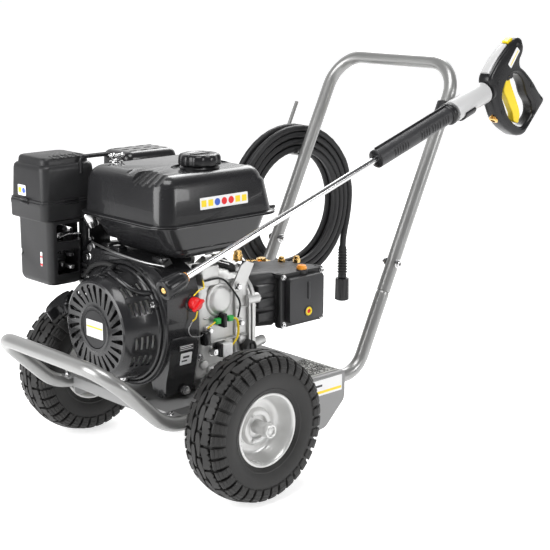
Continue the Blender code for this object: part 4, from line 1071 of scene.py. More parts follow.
def recoil():
    back, depth = -75.3, 70.8
    place = toward((back, 0, CRANK_Z), (-1, 0, 0), Y)

    def cover(bm):
        profile = [(0, depth - 2.4), (33, depth - 2.4), (34.5, depth), (39.5, depth + 0.4),
                   (41.5, depth - 1.6), (44, depth - 2.2), (77, depth - 2.2), (80, depth - 1.4),
                   (83.5, depth - 3), (86, depth - 7), (90, depth - 16), (93.5, 30), (96, 12), (98.5, 8),
                   (101, 7), (102, 5), (102, 0.2), (93, 0.2), (93, 10), (90.5, 30), (87.2, depth - 18),
                   (83, depth - 9), (80, depth - 6), (0, depth - 5.6)]
        lathe(bm, profile, place, 104)

    def slots(bm):
        face = place @ at(z=depth - 14)
        for i in range(26):
            turned_slot(bm, face, 48.5, 73.5, 2 * math.pi * i / 26, 3.4, 8.6, math.radians(7))
        for group in (8, 30, 68, 90, 128, 150, 188, 210, 248, 270, 308, 330):
            for k in range(4):
                x = back - 17 - 10.5 * k
                a0, a1 = math.radians(group - 7.5), math.radians(group + 7.5)
                rows = []
                for step in range(5):
                    a = a0 + (a1 - a0) * step / 4
                    rows.append([bm.verts.new((x + dx, r * math.cos(a), CRANK_Z + r * math.sin(a))) for r,
                                 dx in ((76, -3), (103, -3), (103, 3), (76, 3))])
                solid(bm, rows)
        lathe(bm, [(0, 40), (3, 40), (3, 140), (0, 140)], toward((-120, 0, 286), Y), 16)

    piece("starter_cover", cover, ENAMEL, nodes=("recoil_cover",), bevel=0.7, seg=2, cuts=slots, angle=30)

    piece("starter_hub_disc", lambda bm: lathe(bm, [(0, depth - 1), (32.5, depth - 1), (33.2, depth - 1.8),
                                                    (33.2, depth - 4)], place, 64), PLASTIC)
    face = at(back - depth + 0.8, 0, CRANK_Z) @ turned(180, "Z") @ ACROSS
    label("hub_plate", face, (47, 30), "trolley", [(0, 3, 44, 3, 1)])

    def rib(bm):
        half = ((4, 98.5, 30), (20, 97.5, 27), (34, 96, 20), (40, 95, 8))
        route = [on_case(back - d, r, 108 - t) for d, r, t in half]
        route += [on_case(back - d, r, 108 + t) for d, r, t in reversed(half)]
        sweep(bm, smooth_route(route, 4), 4.8, 14)

    piece("starter_cover_rib", rib, ENAMEL)

    def rim(bm):
        for angle in (150, 270, 30):
            spot = on_case(back - 5, 98.5, angle)
            lathe(bm, [(0, 6.2), (8.2, 6), (9.4, 4.8), (9.8, -4)], toward(spot, (-1, 0, 0)), 28)

    piece("starter_cover_bosses", rim, ENAMEL)

    def bolts(bm):
        for angle in (150, 270, 30):
            bolt(bm, on_case(back - 11.2, 98.5, angle), (-1, 0, 0), 4.4, 4.2)

    piece("starter_cover_bolts", bolts, STEEL, angle=30)

    def grip(bm):
        outline = [(14.5, -40), (26, -37), (34.5, -26), (38.5, -10), (38.5, 10), (34.5, 26), (26, 37),
                   (14.5, 40), (18, 28), (19, 14), (12, 7), (1, 6.2), (1, -6.2), (12, -7), (19, -14),
                   (18, -28)]
        flat = [(y, z * 0.84) for y, z in soften(outline, 4, 3)]
        place = at(-120, 113, 286) @ turned(60, "Y")
        prism(bm, flat, place @ at(-10) @ ACROSS, 20, 6, 4)

    piece("pull_grip", grip, GLOSS, "starter_pull", ("starter_grip",), angle=40)


def shroud():
    low, high = -75, -6

    def outline():
        flat = [tuple(on_case(0, 112, a).yz) for a in range(172, 375, 5)]
        top = [(113, 330), (102, 370), (70, 385), (-70, 385), (-100, 370), (-111, 340)]
        return flat + soften([flat[-1]] + top + [flat[0]], 12, 4)[5:-5]

    def build(bm):
        prism(bm, outline(), at(low) @ ACROSS, high - low, 0)
        lathe(bm, [(101, -2), (102.2, 2.2), (105, 5), (108.5, 4.2), (111, 0.6), (112.2, -6)],
              toward((low, 0, CRANK_Z), (-1, 0, 0)), 96)

    def cuts(bm):
        lathe(bm, [(0, -30), (95.5, -30), (95.5, 65), (0, 65)], toward((low, 0, CRANK_Z), X), 64)
        lathe(bm, [(0, 0), (30, 0), (30, 100), (0, 100)], toward((low, 0, CRANK_Z), X), 32)

    piece("blower_housing", build, ENAMEL, nodes=("fan_shroud",), angle=32, bevel=4.5, seg=3, cuts=cuts)

    def skirt(bm):
        outline = [(-112, 270), (-111.8, 240), (-106, 210), (-98.5, 185), (-97, 162), (-90, 154.5),
                   (-64, 154.5), (-56, 190), (-80, 270)]
        prism(bm, soften(outline, 10, 4), at(-70) @ ACROSS, 62, 7, 4)
        lathe(bm, [(0, 0), (9.5, 0), (9.5, 6), (8.5, 7.5), (0, 7.5)], near(-30, -96, 164), 28)

    piece("blower_housing_skirt", skirt, ENAMEL)

    def fixings(bm):
        bolt(bm, (-30, -103.4, 164), (0, -1, 0), 5.2, 4.2)
        bolt(bm, (2, -102, 216), (0, -1, 0), 5, 4)

    piece("blower_housing_bolts", fixings, STEEL, angle=30)

    steep = turned(11, "X")
    label("housing_notice", at(-35, -112.2, 244) @ UPRIGHT, (32, 11), "trolley",
          [(0, 3.2, 28, 1.2, 1), (-2, 0.2, 24, 1, 1), (0, -3, 28, 1, 1)], INK, (WHITE,), 1)
    label("housing_sticker", at(-35, -109.7, 224) @ steep @ UPRIGHT, (25, 22), "trolley",
          [(0, 3, 14, 4, 2), (-3, -4, 12, 3, 2)])

    def knob(bm):
        spot = near(-20, -112.5, 320)
        lathe(bm, [(0, 15), (8, 14.8), (10, 13.8), (11, 12), (11.2, 1), (9, 0)], spot, 40)
        turn = at(-20, -112.5, 320) @ turned(-38, "Y") @ UPRIGHT
        prism(bm, soften([(-15.8, -2.1), (11.8, -2.7), (11.8, 2.7), (-15.8, 2.1)], 2, 3), turn @ at(z=12.5),
              6.8, 1, 2)

    piece("stop_knob", knob, RED, "stop_switch", ("engine_switch",), angle=35)

    piece("stop_knob_collar", lambda bm: lathe(bm, [(11.8, -4), (15, -2), (15.6, 1), (13.5, 3), (11.8, 3)],
                                               near(-20, -110.5, 320), 32), ENAMEL)


def crankcase():
    def build(bm):
        loft(bm, [(172, 0, 126, -94, 30, 16), (180, -5, 130, -99, 36, 18), (326, -5, 130, -99, 36, 20),
                  (342, 0, 124, -92, 34, 20), (348, 10, 112, -80, 28, 16)], 6)
        loft(bm, [(169, -3, 128, -40, 82, 10), (240, -3, 128, -40, 82, 10), (246, 3, 122, -34, 76, 10)], 4)
        for x in (8, 92):
            for y in (-116, 62):
                block(bm, (x, y, 149.3), (x + 28, y + 36, 173), 3)
        block(bm, (10, -108, 160), (120, 94, 174), 3)
        lathe(bm, [(56, 20), (56, 69.5)], toward((66, 0, CRANK_Z), TILT), 40)
        disc = near(50, -99, 312)
        lathe(bm, [(0, 9), (18, 9), (21.5, 7.6), (25, 4), (29, 3.4), (31, 0)], disc, 56)
        for x, z, r, h in ((22, 262, 8.5, 7), (88, 330, 9.5, 8), (96, 262, 8, 6), (100, 230, 7.5, 6),
                           (14, 200, 8, 5)):
            lathe(bm, [(0, h), (r * 0.8, h), (r, h * 0.85), (r * 1.15, 0)], near(x, -98.5, z), 28)
        for low, high in (((10, 236), (112, 240)), ((84, 180), (88, 330)), ((14, 282), (30, 285)),
                          ((60, 180), (64, 240)), ((90, 288), (116, 291))):
            block(bm, (low[0], -103.5, low[1]), (high[0], -95, high[1]), 1.2)
        block(bm, (20, -108, 176), (56, -96, 196), 3)

    piece("engine_block", build, CAST, nodes=("crankcase",), angle=35, bevel=1.2)

    def flange(bm):
        for x0, x1, grow in ((116.5, 121.5, 4), (122.8, 130, 6.5)):
            ring = soften([(-100 - grow, 176), (36 + grow, 176), (40 + grow, 310), (20, 352 + grow),
                           (-60, 352 + grow), (-100 - grow, 318)], 18, 5)
            prism(bm, ring, at(x0) @ ACROSS, x1 - x0, 0.9, 2)
        for y, z in ((-98, 196), (-100, 300), (-64, 352), (16, 352), (34, 300)):
            lathe(bm, [(0, 0), (9.5, 0), (9.5, 28), (8.6, 29), (0, 29)], toward((112, y, z), X), 24)
        sweep(bm, [(126, -97, 214), (160, -93, 217)], 8.8, 20)
        sweep(bm, [(130, -60, 192), (156, -60, 192)], 8, 20)

    piece("engine_side_cover", flange, CAST, angle=35, bevel=0.6)

    def gasket(bm):
        ring = soften([(-103, 177), (39, 177), (43, 310), (20, 355), (-60, 355), (-103, 318)], 18, 5)
        prism(bm, ring, at(121.3) @ ACROSS, 1.8)

    piece("engine_gasket", gasket, GLOSS)

    def fins(bm):
        for k in range(5):
            y = 76.5 + 15.5 * k
            place = toward(Vector((66, 0, CRANK_Z)) + TILT * y, TILT, X)
            loft(bm, [(0, -56, 56, -58, 58, 20), (2.4, -58, 58, -60, 60, 20), (4.8, -56, 56, -58, 58, 20)],
                 4, place)
        place = toward((66, 0, CRANK_Z), TILT, X)
        loft(bm, [(70.5, -44, 44, -44, 44, 14), (151.5, -44, 44, -44, 44, 14)], 4, place)

    piece("cylinder_fins", fins, CAST, nodes=("cylinder_head",), angle=35)

    def rocker(bm):
        place = toward((66, 0, CRANK_Z), TILT, X)
        loft(bm, [(152.3, -46, 46, -46, 46, 12), (155, -46, 46, -46, 46, 12), (155.5, -43, 43, -43, 43, 12),
                  (180, -41, 41, -41, 41, 12), (183.8, -37, 37, -37, 37, 11), (184.8, -32, 32, -32, 32, 10)],
             6, place)
        lathe(bm, [(0, 185), (20, 185), (21.5, 184.2)], place, 32)

    piece("rocker_box", rocker, ENAMEL, nodes=("rocker_cover",), angle=35)

    def spark(bm):
        route = smooth_route([(20, 150, 300), (0, 160, 306), (-6, 140, 330), (-4, 100, 356)], 6)
        sweep(bm, route, 3.6, 12)
        lathe(bm, [(0, -4), (8, -3), (9.2, 0), (9.2, 22), (7, 26), (0, 27)], toward((22, 151, 300),
                                                                                    (-1, 0.3, 0.2)), 24)

    piece("spark_lead", spark, RUBBER)

    def bracket(bm):
        route = [(70, 322), (98, 322), (124, 366), (110, 373), (96, 367)]
        prism(bm, soften(route, 4, 3), at(y=-104) @ UPRIGHT, 2.4, 0.4, 1)
        prism(bm, [(96, 322), (101, 320), (127, 366), (122, 368)], at(y=-80) @ UPRIGHT, 26.2, 0.4, 1)
        lathe(bm, [(2.2, 2.6), (4.6, 2.6), (4.6, 3), (2.2, 3)], near(86, -106.4, 334), 20, closed=True)
        block(bm, (10, -104, 340), (48, -70, 376), 4)

    piece("tank_bracket", bracket, CAST)

    def hole(bm):
        lathe(bm, [(0, 3), (2.6, 3), (2.8, 0)], near(86, -106.4, 334), 16)
        lathe(bm, [(0, 8), (8.5, 8), (9.8, 6.8), (9.8, 0)], near(112, -106, 214), 24)
        sweep(bm, smooth_route([(12, -106, 352), (50, -108, 350), (78, -110, 320), (88, -112, 300),
                                (82, -113, 276)], 5), 1.8, 10)
        block(bm, (46, -117, 264), (54, -100, 289), 1.5)
        block(bm, (5, -114, 238), (19, -100, 262), 2)
        block(bm, (40, -115, 211), (46, -100, 235), 1)

    piece("engine_black_trim", hole, GLOSS)

    def plugs(bm):
        for x in (31, 60):
            block(bm, (x, -114, 272), (x + 12, -105, 282), 1.5)
            block(bm, (x + 2, -115.5, 274.5), (x + 10, -110, 276), 0.5, 1)

    piece("wire_plugs", plugs, GREEN)

    def module(bm):
        block(bm, (45.5, -118, 211), (66, -103, 234), 2)
        lathe(bm, [(0, 0.8), (5, 0.8), (6, 0)], near(56, -118, 222.5), 20)

    piece("oil_guard_module", module, WHITE)

    def wires(bm):
        for offset in (0, 2.4):
            sweep(bm, smooth_route([(70 + offset, -111, 277), (79 + offset, -113, 272),
                                    (81 + offset, -113, 244), (66, -112, 224)], 4), 1.2, 8)
        sweep(bm, smooth_route([(34, -110, 277), (24, -112, 274), (14, -110, 268)], 4), 1.4, 8)
        sweep(bm, smooth_route([(-20, -124, 307.5), (-22, -122, 296), (-26, -118, 290)], 3), 1.3, 8)
        sweep(bm, smooth_route([(-22, -117, 334), (-10, -118, 342), (4, -113, 343), (6, -108, 354)], 3), 1.2,
              8)

    piece("yellow_wires", wires, YELLOW)

    piece("grey_wire", lambda bm: sweep(bm, smooth_route([(-26, -118, 290), (-34, -117, 276),
                                                          (-28, -116, 264), (-6, -113, 258), (8, -108, 260)],
                                                         4), 0.9, 8), DULL)

    def chrome(bm):
        bolt(bm, (33, -100, 221), (0, -1, 0), 6, 10)
        bolt(bm, (22, -105.5, 262), (0, -1, 0), 4.6, 5)
        bolt(bm, (88, -106.5, 330), (0, -1, 0), 5.2, 5)
        bolt(bm, (96, -104.5, 262), (0, -1, 0), 4.6, 4.6)
        bolt(bm, (30, -108, 186), (0, -1, 0), 5, 4.6)
        bolt(bm, (124, -70, 356), (0, -0.3, 1), 4.6, 5)
        for y, z in ((-100, 300), (-64, 352), (16, 352), (34, 300)):
            bolt(bm, (141.5, y, z), X, 4.6, 5)

    piece("engine_bolts", chrome, STEEL, angle=30)

    def dipstick(bm):
        spot = near(112, -100.3, 215)
        lathe(bm, [(0, 12), (8, 12), (10, 16), (12.2, 15.8), (13.4, 14), (13.4, 2), (12, 0.4)], spot, 36)
        block(bm, (-2.2, -8.5, 11.8), (2.2, 8.5, 15.8), 0.8, 2, spot)

    piece("dipstick_plug", dipstick, RUBBER, "engine_oil_plug", ("oil_filler_plug",))


def cowling():
    """Sheet-metal air guide from the blower over the cylinder, with the stays under the tank."""
    def build(bm):
        outline = [(-70, 380), (90, 342), (130, 312), (150, 316), (156, 348), (125, 386), (100, 390),
                   (-50, 390)]
        prism(bm, soften(outline, 12, 4), at(-72) @ ACROSS, 92, 3, 2)
        for y in (-60, 60):
            block(bm, (-56, y - 14, 376), (-36, y + 14, 396), 3)
        block(bm, (-69, 131, 300), (-10, 150, 438), 4)
        block(bm, (-50, 84, 380), (-10, 115, 396), 6)

    piece("cylinder_cowl", build, ENAMEL, angle=35)

    def slats(bm):
        for k in range(4):
            z = 322 + 10 * k
            block(bm, (-75, 118, z), (-71, 150, z + 5), 1, 1)

    piece("cylinder_cowl_slats", slats, PLASTIC)


def silencer():
    def shield(bm):
        loft(bm, shell(440, 546, (30, 152, 128, 216), (32, 150, 130, 214), 14, 14), 6)

    def holes(bm):
        loft(bm, shell(400, 543, (32.5, 149.5, 130.5, 213.5), (34.5, 147.5, 132.5, 211.5), 12, 12), 6)
        for i in range(4):
            for j in range(3):
                x, y = 52 + 26 * i, 148 + 24 * j
                capsule(bm, (x, y, 544), (x + 10, y, 544), 4.2, 14)
        for i in range(4):
            for z in (470, 495, 520):
                for y in (130, 214):
                    capsule(bm, (50 + 26 * i, y, z), (60 + 26 * i, y, z), 4.5, 14)

    piece("silencer_guard", shield, ENAMEL, nodes=("muffler_shield",), bevel=0.5, cuts=holes)

    def can(bm):
        loft(bm, [(420, 55, 127, 152, 190, 16), (423.5, 44, 138, 141, 201, 18),
                  (433, 37.5, 144.5, 134.5, 207.5, 18), (474, 37.5, 144.5, 134.5, 207.5, 18),
                  (476, 36, 146, 133, 209, 18), (478, 37.5, 144.5, 134.5, 207.5, 18),
                  (520, 37.5, 144.5, 134.5, 207.5, 18), (528.5, 44, 138, 141, 201, 18),
                  (531.5, 55, 127, 152, 190, 16)], 6)
        sweep(bm, rounded([(110, 150, 430), (110, 150, 405), (100, 120, 385)], (12,)), 12, 24)
        lathe(bm, [(10, -2), (12, -2), (12, 10), (10, 10)], toward((144, 171, 460), X), 28, closed=True)

    piece("silencer_can", can, DULL, nodes=("muffler",))


def pump():
    def adapter(bm):
        lathe(bm, [(21, 0), (89, 0), (90, 1), (90, 8), (88, 10), (76, 12), (70, 20), (68, 33), (21, 33.6)],
              toward((130.4, 0, CRANK_Z), X), 72, closed=True)
        for i in range(8):
            a = 22.5 + 45 * i
            spot = on_case(130.4, 79, a)
            lathe(bm, [(0, 0), (9, 0), (8.8, 15), (0, 15.5)], toward(spot, X), 20)
            block(bm, (0, -2.5, 0), (30, 2.5, 12), 1, 1, toward(on_case(150, 66, a + 22), X,
                                                                on_case(0, 1, a + 22) - CRANK) @ turned(-90,
                                                                                                        "Y")
                  @ at(-14, 0, -4))

    piece("adapter_ring", adapter, CAST, nodes=("pump_adapter",), angle=35, bevel=0.6)

    def body(bm):
        flutes = wave_ring(96, lambda a: 54.5 + 1.8 * math.tanh(3 * math.cos(12 * a) + 1.2))
        prism(bm, flutes, at(164.3, 0, CRANK_Z) @ ACROSS, 42, 1, 1)
        lathe(bm, [(0, 0), (59, 0), (60, 1.2), (60, 6), (58.5, 7), (0, 7)], toward((164.3, 0, CRANK_Z), X),
              64)
        neck = [(170, -327, -223, -56, 56, 34), (176, -327, -223, -57, 56, 30),
                (216, -327, -224, -66, 48, 16)]
        for z in (248, 274, 300):
            block(bm, (172, -69, z - 9), (216, -50, z + 9), 4, 2)
        place = Matrix(((0, 0, 1), (0, 1, 0), (-1, 0, 0))).to_4x4()
        loft(bm, neck, 5, place)
        loft(bm, [(231, 215, 325, -72, 39, 8), (315, 215, 325, -72, 39, 8), (321, 218, 322, -69, 36, 6)], 5)
        loft(bm, [(224, 214, 326, -82.5, -70, 4), (326, 214, 326, -82.5, -70, 4)], 4)
        for x in (220.5, 319.5):
            for z in (230, 320):
                lathe(bm, [(0, 0), (7.4, 0), (7.4, 13), (6.6, 14), (0, 14)], near(x, -69, z), 24)
        top = soften([(215, -82), (325, -82), (323, -60), (250, 30), (216, 35)], 6, 3)
        place = at(z=324) @ turned(1.5, "X")
        prism(bm, top, place, 3.6, 0.8, 2)
        for i in range(5):
            x = 230 + 20 * i
            block(bm, (x, -60, 227), (x + 3, 34, 233), 0.8, 1)

    piece("pump_casting", body, PUMP, nodes=("pump_body",), angle=35, bevel=0.8)

    def panel(bm):
        y = -83.3
        outline = [(226, 233), (314, 233), (314, 318), (226, 318)]
        prism(bm, soften(outline, 6, 4), at(y=y) @ UPRIGHT, 13, 2.2, 3)
        capsule(bm, (274, -96.2, 305), (274, -96.2, 276), 3, 16)
        lathe(bm, [(10.5, 0), (10.5, 1), (9, 1.6)], near(274, -96, 250), 32)

    piece("pump_panel", panel, PANEL, nodes=("pump_cover",), angle=35)

    def glass(bm):
        spot = near(274, -96.2, 250)
        lathe(bm, [(4, 0.8), (4.6, 1.8), (7.8, 1.8), (8.6, 0.4), (8.6, -1)], spot, 32)

    piece("sight_glass_ring", glass, YELLOW)

    def centre(bm):
        spot = near(274, -96.2, 250)
        lathe(bm, [(0, 1.2), (3.6, 1), (4.4, 0.4), (4.4, -1)], spot, 24)

    piece("sight_glass_centre", centre, RED)

    def screws(bm):
        for x in (220.5, 319.5):
            for z in (230, 320):
                bolt(bm, (x, -83.8, z), (0, -1, 0), 4, 4, "socket")
        for x in (232, 310):
            bolt(bm, (x, 80.8, 308), (0, 1, 0), 5, 6, "socket")
            bolt(bm, (x, 80.8, 248), (0, 1, 0), 5, 6, "socket")

    piece("pump_screws", screws, STEEL, angle=30)

    def filler(bm):
        spot = at(274, -77, 327.3)
        lathe(bm, [(0, 6.4), (3, 6.4), (3.6, 8), (7, 8), (8, 7.4), (8.6, 5), (9.8, 4.4), (10, 1), (9, 0.2),
                   (0, 0.2)], spot, 36)

    piece("pump_filler", filler, ORANGE, "pump_oil_plug", ("pump_oil_cap",))

    piece("pump_filler_boss", lambda bm: lathe(bm, [(0, 0), (11.2, 0), (11.2, 7), (10.4, 8), (0, 8)],
                                               toward((274, -77, 319), Z), 32), PUMP)

    def head(bm):
        loft(bm, [(240, 223, 317, 41, 79, 5), (316, 223, 317, 41, 79, 5)], 4)
        for i in range(3):
            x = 242 + 28 * i
            for z, way in ((316, 1), (240, -1)):
                prism(bm, ring_of(6, 10), toward((x, 60, z - 1 * way), (0, 0, way)), 8, 0.8, 1)
        lathe(bm, [(9.2, 0), (12, 0), (12, 4), (10.8, 5), (12, 6), (10.8, 8), (12, 10), (12, 24), (11.2, 25),
                   (9.2, 25)], toward((316.5, 60.3, 260), X), 36, closed=True)

    piece("pump_manifold", head, BRASS, nodes=("pump_head",), bevel=0.6, angle=35)

    def outlet(bm):
        spot = toward((272, 80.6, 280), Y)
        prism(bm, ring_of(6, 12.2), spot, 9.6, 0.8, 1)
        lathe(bm, [(8.8, 9), (8.8, 17), (7.8, 17.8), (0, 17.8)], spot, 32)

    piece("outlet_nipple", outlet, BRASS, nodes=("pump_outlet",))

    def regulator(bm):
        lathe(bm, [(0, 0), (8.6, 0), (8.6, 6), (7, 7), (7, 12), (9.2, 13), (9.2, 20), (7.6, 21), (7.6, 28),
                   (0, 28.5)], at(200, 20, 330), 28)
        prism(bm, ring_of(6, 10.5), at(200, 20, 336), 7, 0.8, 1)
        for x, y in ((300, 5), (326, -10)):
            prism(bm, ring_of(6, 7.6), toward((x, y, 321), Z), 8, 0.8, 1)
            lathe(bm, [(5.6, 8), (5.6, 12), (4.4, 13), (0, 13)], at(x, y, 321), 20)
        prism(bm, ring_of(6, 8), toward((325, -38, 305), X), 10, 0.8, 1)
        sweep(bm, [(200, 20, 334), (200, 30, 334), (224, 56, 312)], 5.5, 16)

    piece("pump_fittings", regulator, BRASS, bevel=0.3)


def grown(outline, by):
    """The outline moved outwards by this much at every corner."""
    count = len(outline)
    area = sum(outline[i - 1][0] * outline[i][1] - outline[i][0] * outline[i - 1][1] for i in range(count))
    sign = 1 if area > 0 else -1
    made = []
    for i, point in enumerate(outline):
        p, before, after = Vector(point), Vector(outline[i - 1]), Vector(outline[(i + 1) % count])
        a, b = (p - before).normalized(), (after - p).normalized()
        n = Vector((a.y + b.y, -a.x - b.x)).normalized() * sign
        half = max(0.5, n.dot(Vector((a.y, -a.x)) * sign))
        made.append(tuple(p + n * by / half))
    return made


def slices(bm, outline, steps):
    """The outline at several depths along Y, grown at each by its own amount; closed at both ends."""
    loops = []
    for y, by in steps:
        loops.append([bm.verts.new((x, LANCE_Y + y, z)) for x, z in grown(outline, by)])
    solid(bm, loops)
    bmesh.ops.recalc_face_normals(bm, faces=bm.faces)


def gun():
    outline = [(656, 625), (638, 668), (664, 701), (701, 731), (729, 745), (740, 742), (748, 725),
               (745, 712), (737, 700), (739, 688), (756, 679), (783, 658), (804, 635), (824, 620),
               (822, 612), (762, 550), (736, 550), (700, 568), (677, 587), ]
    hole = [(702, 666), (713, 673), (733.6, 674.5), (755.7, 657.9), (768.3, 629), (786, 612), (790, 593),
            (774, 577), (756, 565.5), (729, 574.5), (706, 594), (685, 631), (690, 650), ]

    def body(bm):
        edge = [(15.8, -6.8), (15.2, -4.4), (13.7, -2.2), (11.3, -0.6), (8.5, 0)]
        slices(bm, soften(outline, 14, 6), [(-y, by) for y, by in edge] + edge[::-1])

    def cuts(bm):
        edge = [(30, 6.8), (15.6, 6), (14.3, 3.4), (12.2, 1.4), (9, 0.2), (6, 0)]
        slices(bm, soften(hole, 12, 6), [(-y, by) for y, by in edge] + edge[::-1])
        lathe(bm, [(0, -8), (10.5, -8), (10.5, 8), (0, 8)], toward((707.5, LANCE_Y, 671.5), Y), 24)
        for z in (708.5, 716, 723.5):
            sweep(bm, [(748, LANCE_Y - 30, z), (748, LANCE_Y + 30, z)], 2.1, 10)

    piece("gun_shell", body, GLOSS, "gun", ("gun_body",), angle=40, cuts=cuts)

    def seam(bm):
        for x, z in ((670, 660), (724, 730), (778, 648), (686, 602)):
            lathe(bm, [(0, 0.8), (2.8, 0.8), (3.6, 1.6), (4, 1.6), (4.4, 0)], near(x, LANCE_Y - 15.6, z), 20)
        lathe(bm, [(0, 0.5), (5.6, 0.5), (6.2, 0)], near(707.5, LANCE_Y - 15.8, 671.5), 24)
        collar = lance_point(846)
        lathe(bm, [(0, -4), (20.5, -4), (21.5, -3), (21.5, 2), (19.5, 3.6), (16, 6), (0, 6)],
              toward(collar + LANCE_DIR * 6, LANCE_DIR), 48)

    piece("gun_details", seam, PLASTIC, "gun", angle=35)

    def inlay(bm):
        spine = [Vector((x, LANCE_Y, z)) for x, z in ((644, 679), (656, 693), (670, 707), (687, 721),
                                                      (700, 731))]
        widths = (10, 9.8, 9, 8, 7.2)
        rows = []
        for i, (p, w) in enumerate(zip(spine, widths)):
            ahead = (spine[min(i + 1, 4)] - spine[max(i - 1, 0)]).normalized()
            out = Vector((-ahead.z, 0, ahead.x))
            section = [(-1.0, -4), (-1.0, 0.8), (-0.8, 2), (0.8, 2), (1.0, 0.8), (1.0, -4)]
            rows.append([bm.verts.new(p + Y * (w * s) + out * h) for s, h in section])
        solid(bm, rows)

    piece("gun_inlay", inlay, GREY, "gun", angle=40)
    turn = turned(52, "Z")
    face = at(714, LANCE_Y - 15.9, 706) @ UPRIGHT @ turn
    label("gun_plate", face, (42, 13), "gun", [(0, -1.5, 36, 2, 1)])

    def lever(bm):
        around = [polar(7.2, math.radians(a)) for a in range(190, -1, -19)]
        flat = [(707.5 + x, 671.5 + z) for x, z in around]
        flat += [(718, 658), (736, 629), (750, 605), (754.8, 590), (750, 573.5), (735, 578.5), (730, 597),
                 (711, 624), (697.2, 642), (701.8, 657)]
        prism(bm, soften(flat, 4, 3), at(y=LANCE_Y + 7.4) @ UPRIGHT, 14.8)
        sweep(bm, [(707.5, LANCE_Y - 13.8, 671.5), (707.5, LANCE_Y + 13.8, 671.5)], 2.4, 16)

    piece("trigger_blade", lever, YELLOW, "trigger_lever", ("trigger",), bevel=2.4, seg=4, angle=35)

    def button(bm):
        place = at(711.6, LANCE_Y, 736.6) @ Matrix.Rotation(-math.atan2(14, 28), 4, "Y")
        loft(bm, [(0, -8, 8, -7.5, 7.5, 1.2), (3.6, -8, 8, -7.5, 7.5, 1.6), (5, -6.8, 6.8, -6.4, 6.4, 1.6)],
             4, place)

    piece("safety_key", button, YELLOW, "safety_slide", ("safety_button",))

    def brass(bm):
        low, high = Vector((690, LANCE_Y, 606)), Vector((676, LANCE_Y, 583))
        spot = toward(low, high - low)
        lathe(bm, [(0, -4), (8.5, -4), (8.5, 11), (10, 12), (10, 18), (8, 19), (9.4, 20), (8, 21.2),
                   (9.4, 22.4), (8, 23.6), (9.4, 24.8), (8, 26), (5, 26.4), (5, 18), (0, 18)], spot, 36)

    piece("gun_inlet_thread", brass, BRASS, "gun")
    axis = toward(lance_point(0), LANCE_DIR, X)

    def sleeve(bm):
        lathe(bm, [(16, 742.4), (19.6, 742.4), (20.6, 743.2), (21, 745), (21, 838.5), (20.6, 840.5),
                   (19.2, 841.6), (15, 841.8)], axis, 64)
        lathe(bm, [(0, 742.4), (16, 742.4)], axis, 64)
        lathe(bm, [(0, 841.8), (15, 841.8)], axis, 64)

    piece("quick_coupling", sleeve, GREY, "lance_coupling", ("coupling_nut",), angle=35)

    piece("lance_pipe", lambda bm: lathe(bm, [(0, 50), (6, 50), (6, 741), (0, 741)], axis, 32), STEEL, "gun",
          ("lance_tube",))

    def handle(bm):
        oval = wave_ring(64, lambda a: 17.2 * (1 - 0.05 * abs(math.sin(a)) ** 4))
        prism(bm, oval, axis @ at(z=520.5), 204, 2.2, 3)

    def vents(bm):
        for first, count in ((556, 6), (632, 4), (664, 4), (696, 3)):
            for i in range(count):
                for side in (-1, 1):
                    p = lance_point(first + 7.2 * i, side=side * 16)
                    tall = Vector((-LANCE_DIR.z, 0, LANCE_DIR.x)) * 8.6
                    capsule(bm, p - tall, p + tall, 2.2, 10)
        for along in (532, 656, 658):
            p = lance_point(along, side=-16.8, lift=12.5 if along != 658 else -12.5)
            lathe(bm, [(0, -10), (2.6, -10), (2.6, 3), (0, 3)], toward(p, (0, 1, 0)), 14)
        lathe(bm, [(0, 500), (6.6, 500), (6.6, 760), (0, 760)], axis, 32)

    piece("lance_handle", handle, PANEL, "gun", ("lance_grip",), angle=35, bevel=0.4, cuts=vents)

    def ends(bm):
        lathe(bm, [(6.4, 518.8), (13, 518.8), (15, 519.8), (15.8, 522.5), (6.4, 523)], axis, 40, closed=True)
        lathe(bm, [(6.4, 724.5), (17, 724.5), (20, 726.2), (21.4, 729), (21.4, 734), (19.6, 737.2),
                   (12, 740), (6.4, 740.5)], axis, 48, closed=True)
        route = [lance_point(526, 17.8), lance_point(730, 17.8)]
        sweep(bm, [p + Vector((0, 2, 0)) for p in route], 2.6, 12)

    piece("lance_handle_ends", ends, GLOSS, "gun", angle=35)

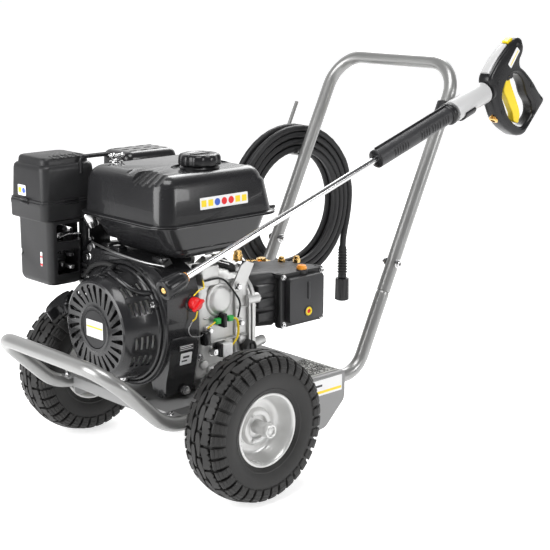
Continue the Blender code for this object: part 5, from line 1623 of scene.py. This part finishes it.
    def nut(bm):
        rings = []
        shape = ((1.5, 13.5, 0), (1.9, 15.8, 0), (3.4, 17.2, 0), (7, 17.8, 0.2), (11, 18, 1.0),
                 (36, 15.8, 1.0), (40, 14.6, 0.3), (47, 11, 0), (49.5, 9.2, 0))
        for along, radius, deep in shape:
            flat = wave_ring(96, lambda a: radius - 1.3 * deep * max(0, math.cos(8 * a)) ** 0.6)
            rings.append([bm.verts.new(axis @ Vector((x, y, along))) for x, y in flat])
        skin(bm, rings)
        bm.faces.new(rings[-1])
        lathe(bm, [(13.5, 1.5), (10, 1.5), (9.2, 2.4), (8.6, 5.2), (0, 6)], axis, 96)

    piece("nozzle_cap", nut, GLOSS, "nozzle", ("nozzle_nut",), angle=40)

    piece("nozzle_jet", lambda bm: lathe(bm, [(0, 4), (1, 4), (2.2, 2.4), (4.4, 2), (5.2, 2.8), (5.2, 8)],
                                         axis, 28), BRASS, "nozzle")

    piece("nozzle_marker", lambda bm: lathe(bm, [(6, 49.6), (8.6, 49.6), (9, 50.2), (8.6, 51.2), (6, 51.4)],
                                            axis, 32), ORANGE, "gun")

    def cradle(bm):
        crossing = lance_point(771.7)
        foot = leg_point(crossing.z - 12, -1)
        lathe(bm, [(13, -16), (16, -16), (17.2, -14.6), (17.2, 14.6), (16, 16), (13, 16)],
              toward(foot, LEG_DIR), 40, closed=True)
        place = at(*crossing) @ Matrix.Rotation(-LANCE_ANGLE, 4, "Y")
        trough = [polar(21.4, math.radians(a)) for a in range(196, 345, 8)]
        trough += [polar(24.6, math.radians(a)) for a in range(344, 195, -8)]
        prism(bm, trough, place @ at(x=-15) @ ACROSS, 30, 0.8, 1)

    piece("lance_cradle", cradle, PLASTIC, nodes=("lance_holder",), angle=35)


def carried_over():
    """Finishes for the CAD solids that stay in view."""
    kept = {"axle": STEEL, "crankshaft": DULL, "flywheel": CAST, "pump_shaft": DULL,
            "starter_pulley": PLASTIC, "starter_rope": ROPE}
    for name, material in kept.items():
        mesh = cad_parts[name].data
        mesh.materials.clear()
        mesh.materials.append(material)


studio()
hose()
wheels()
trolley()
deck()
tank()
air_filter()
carburettor()
recoil()
shroud()
crankcase()
cowling()
silencer()
pump()
gun()
carried_over()
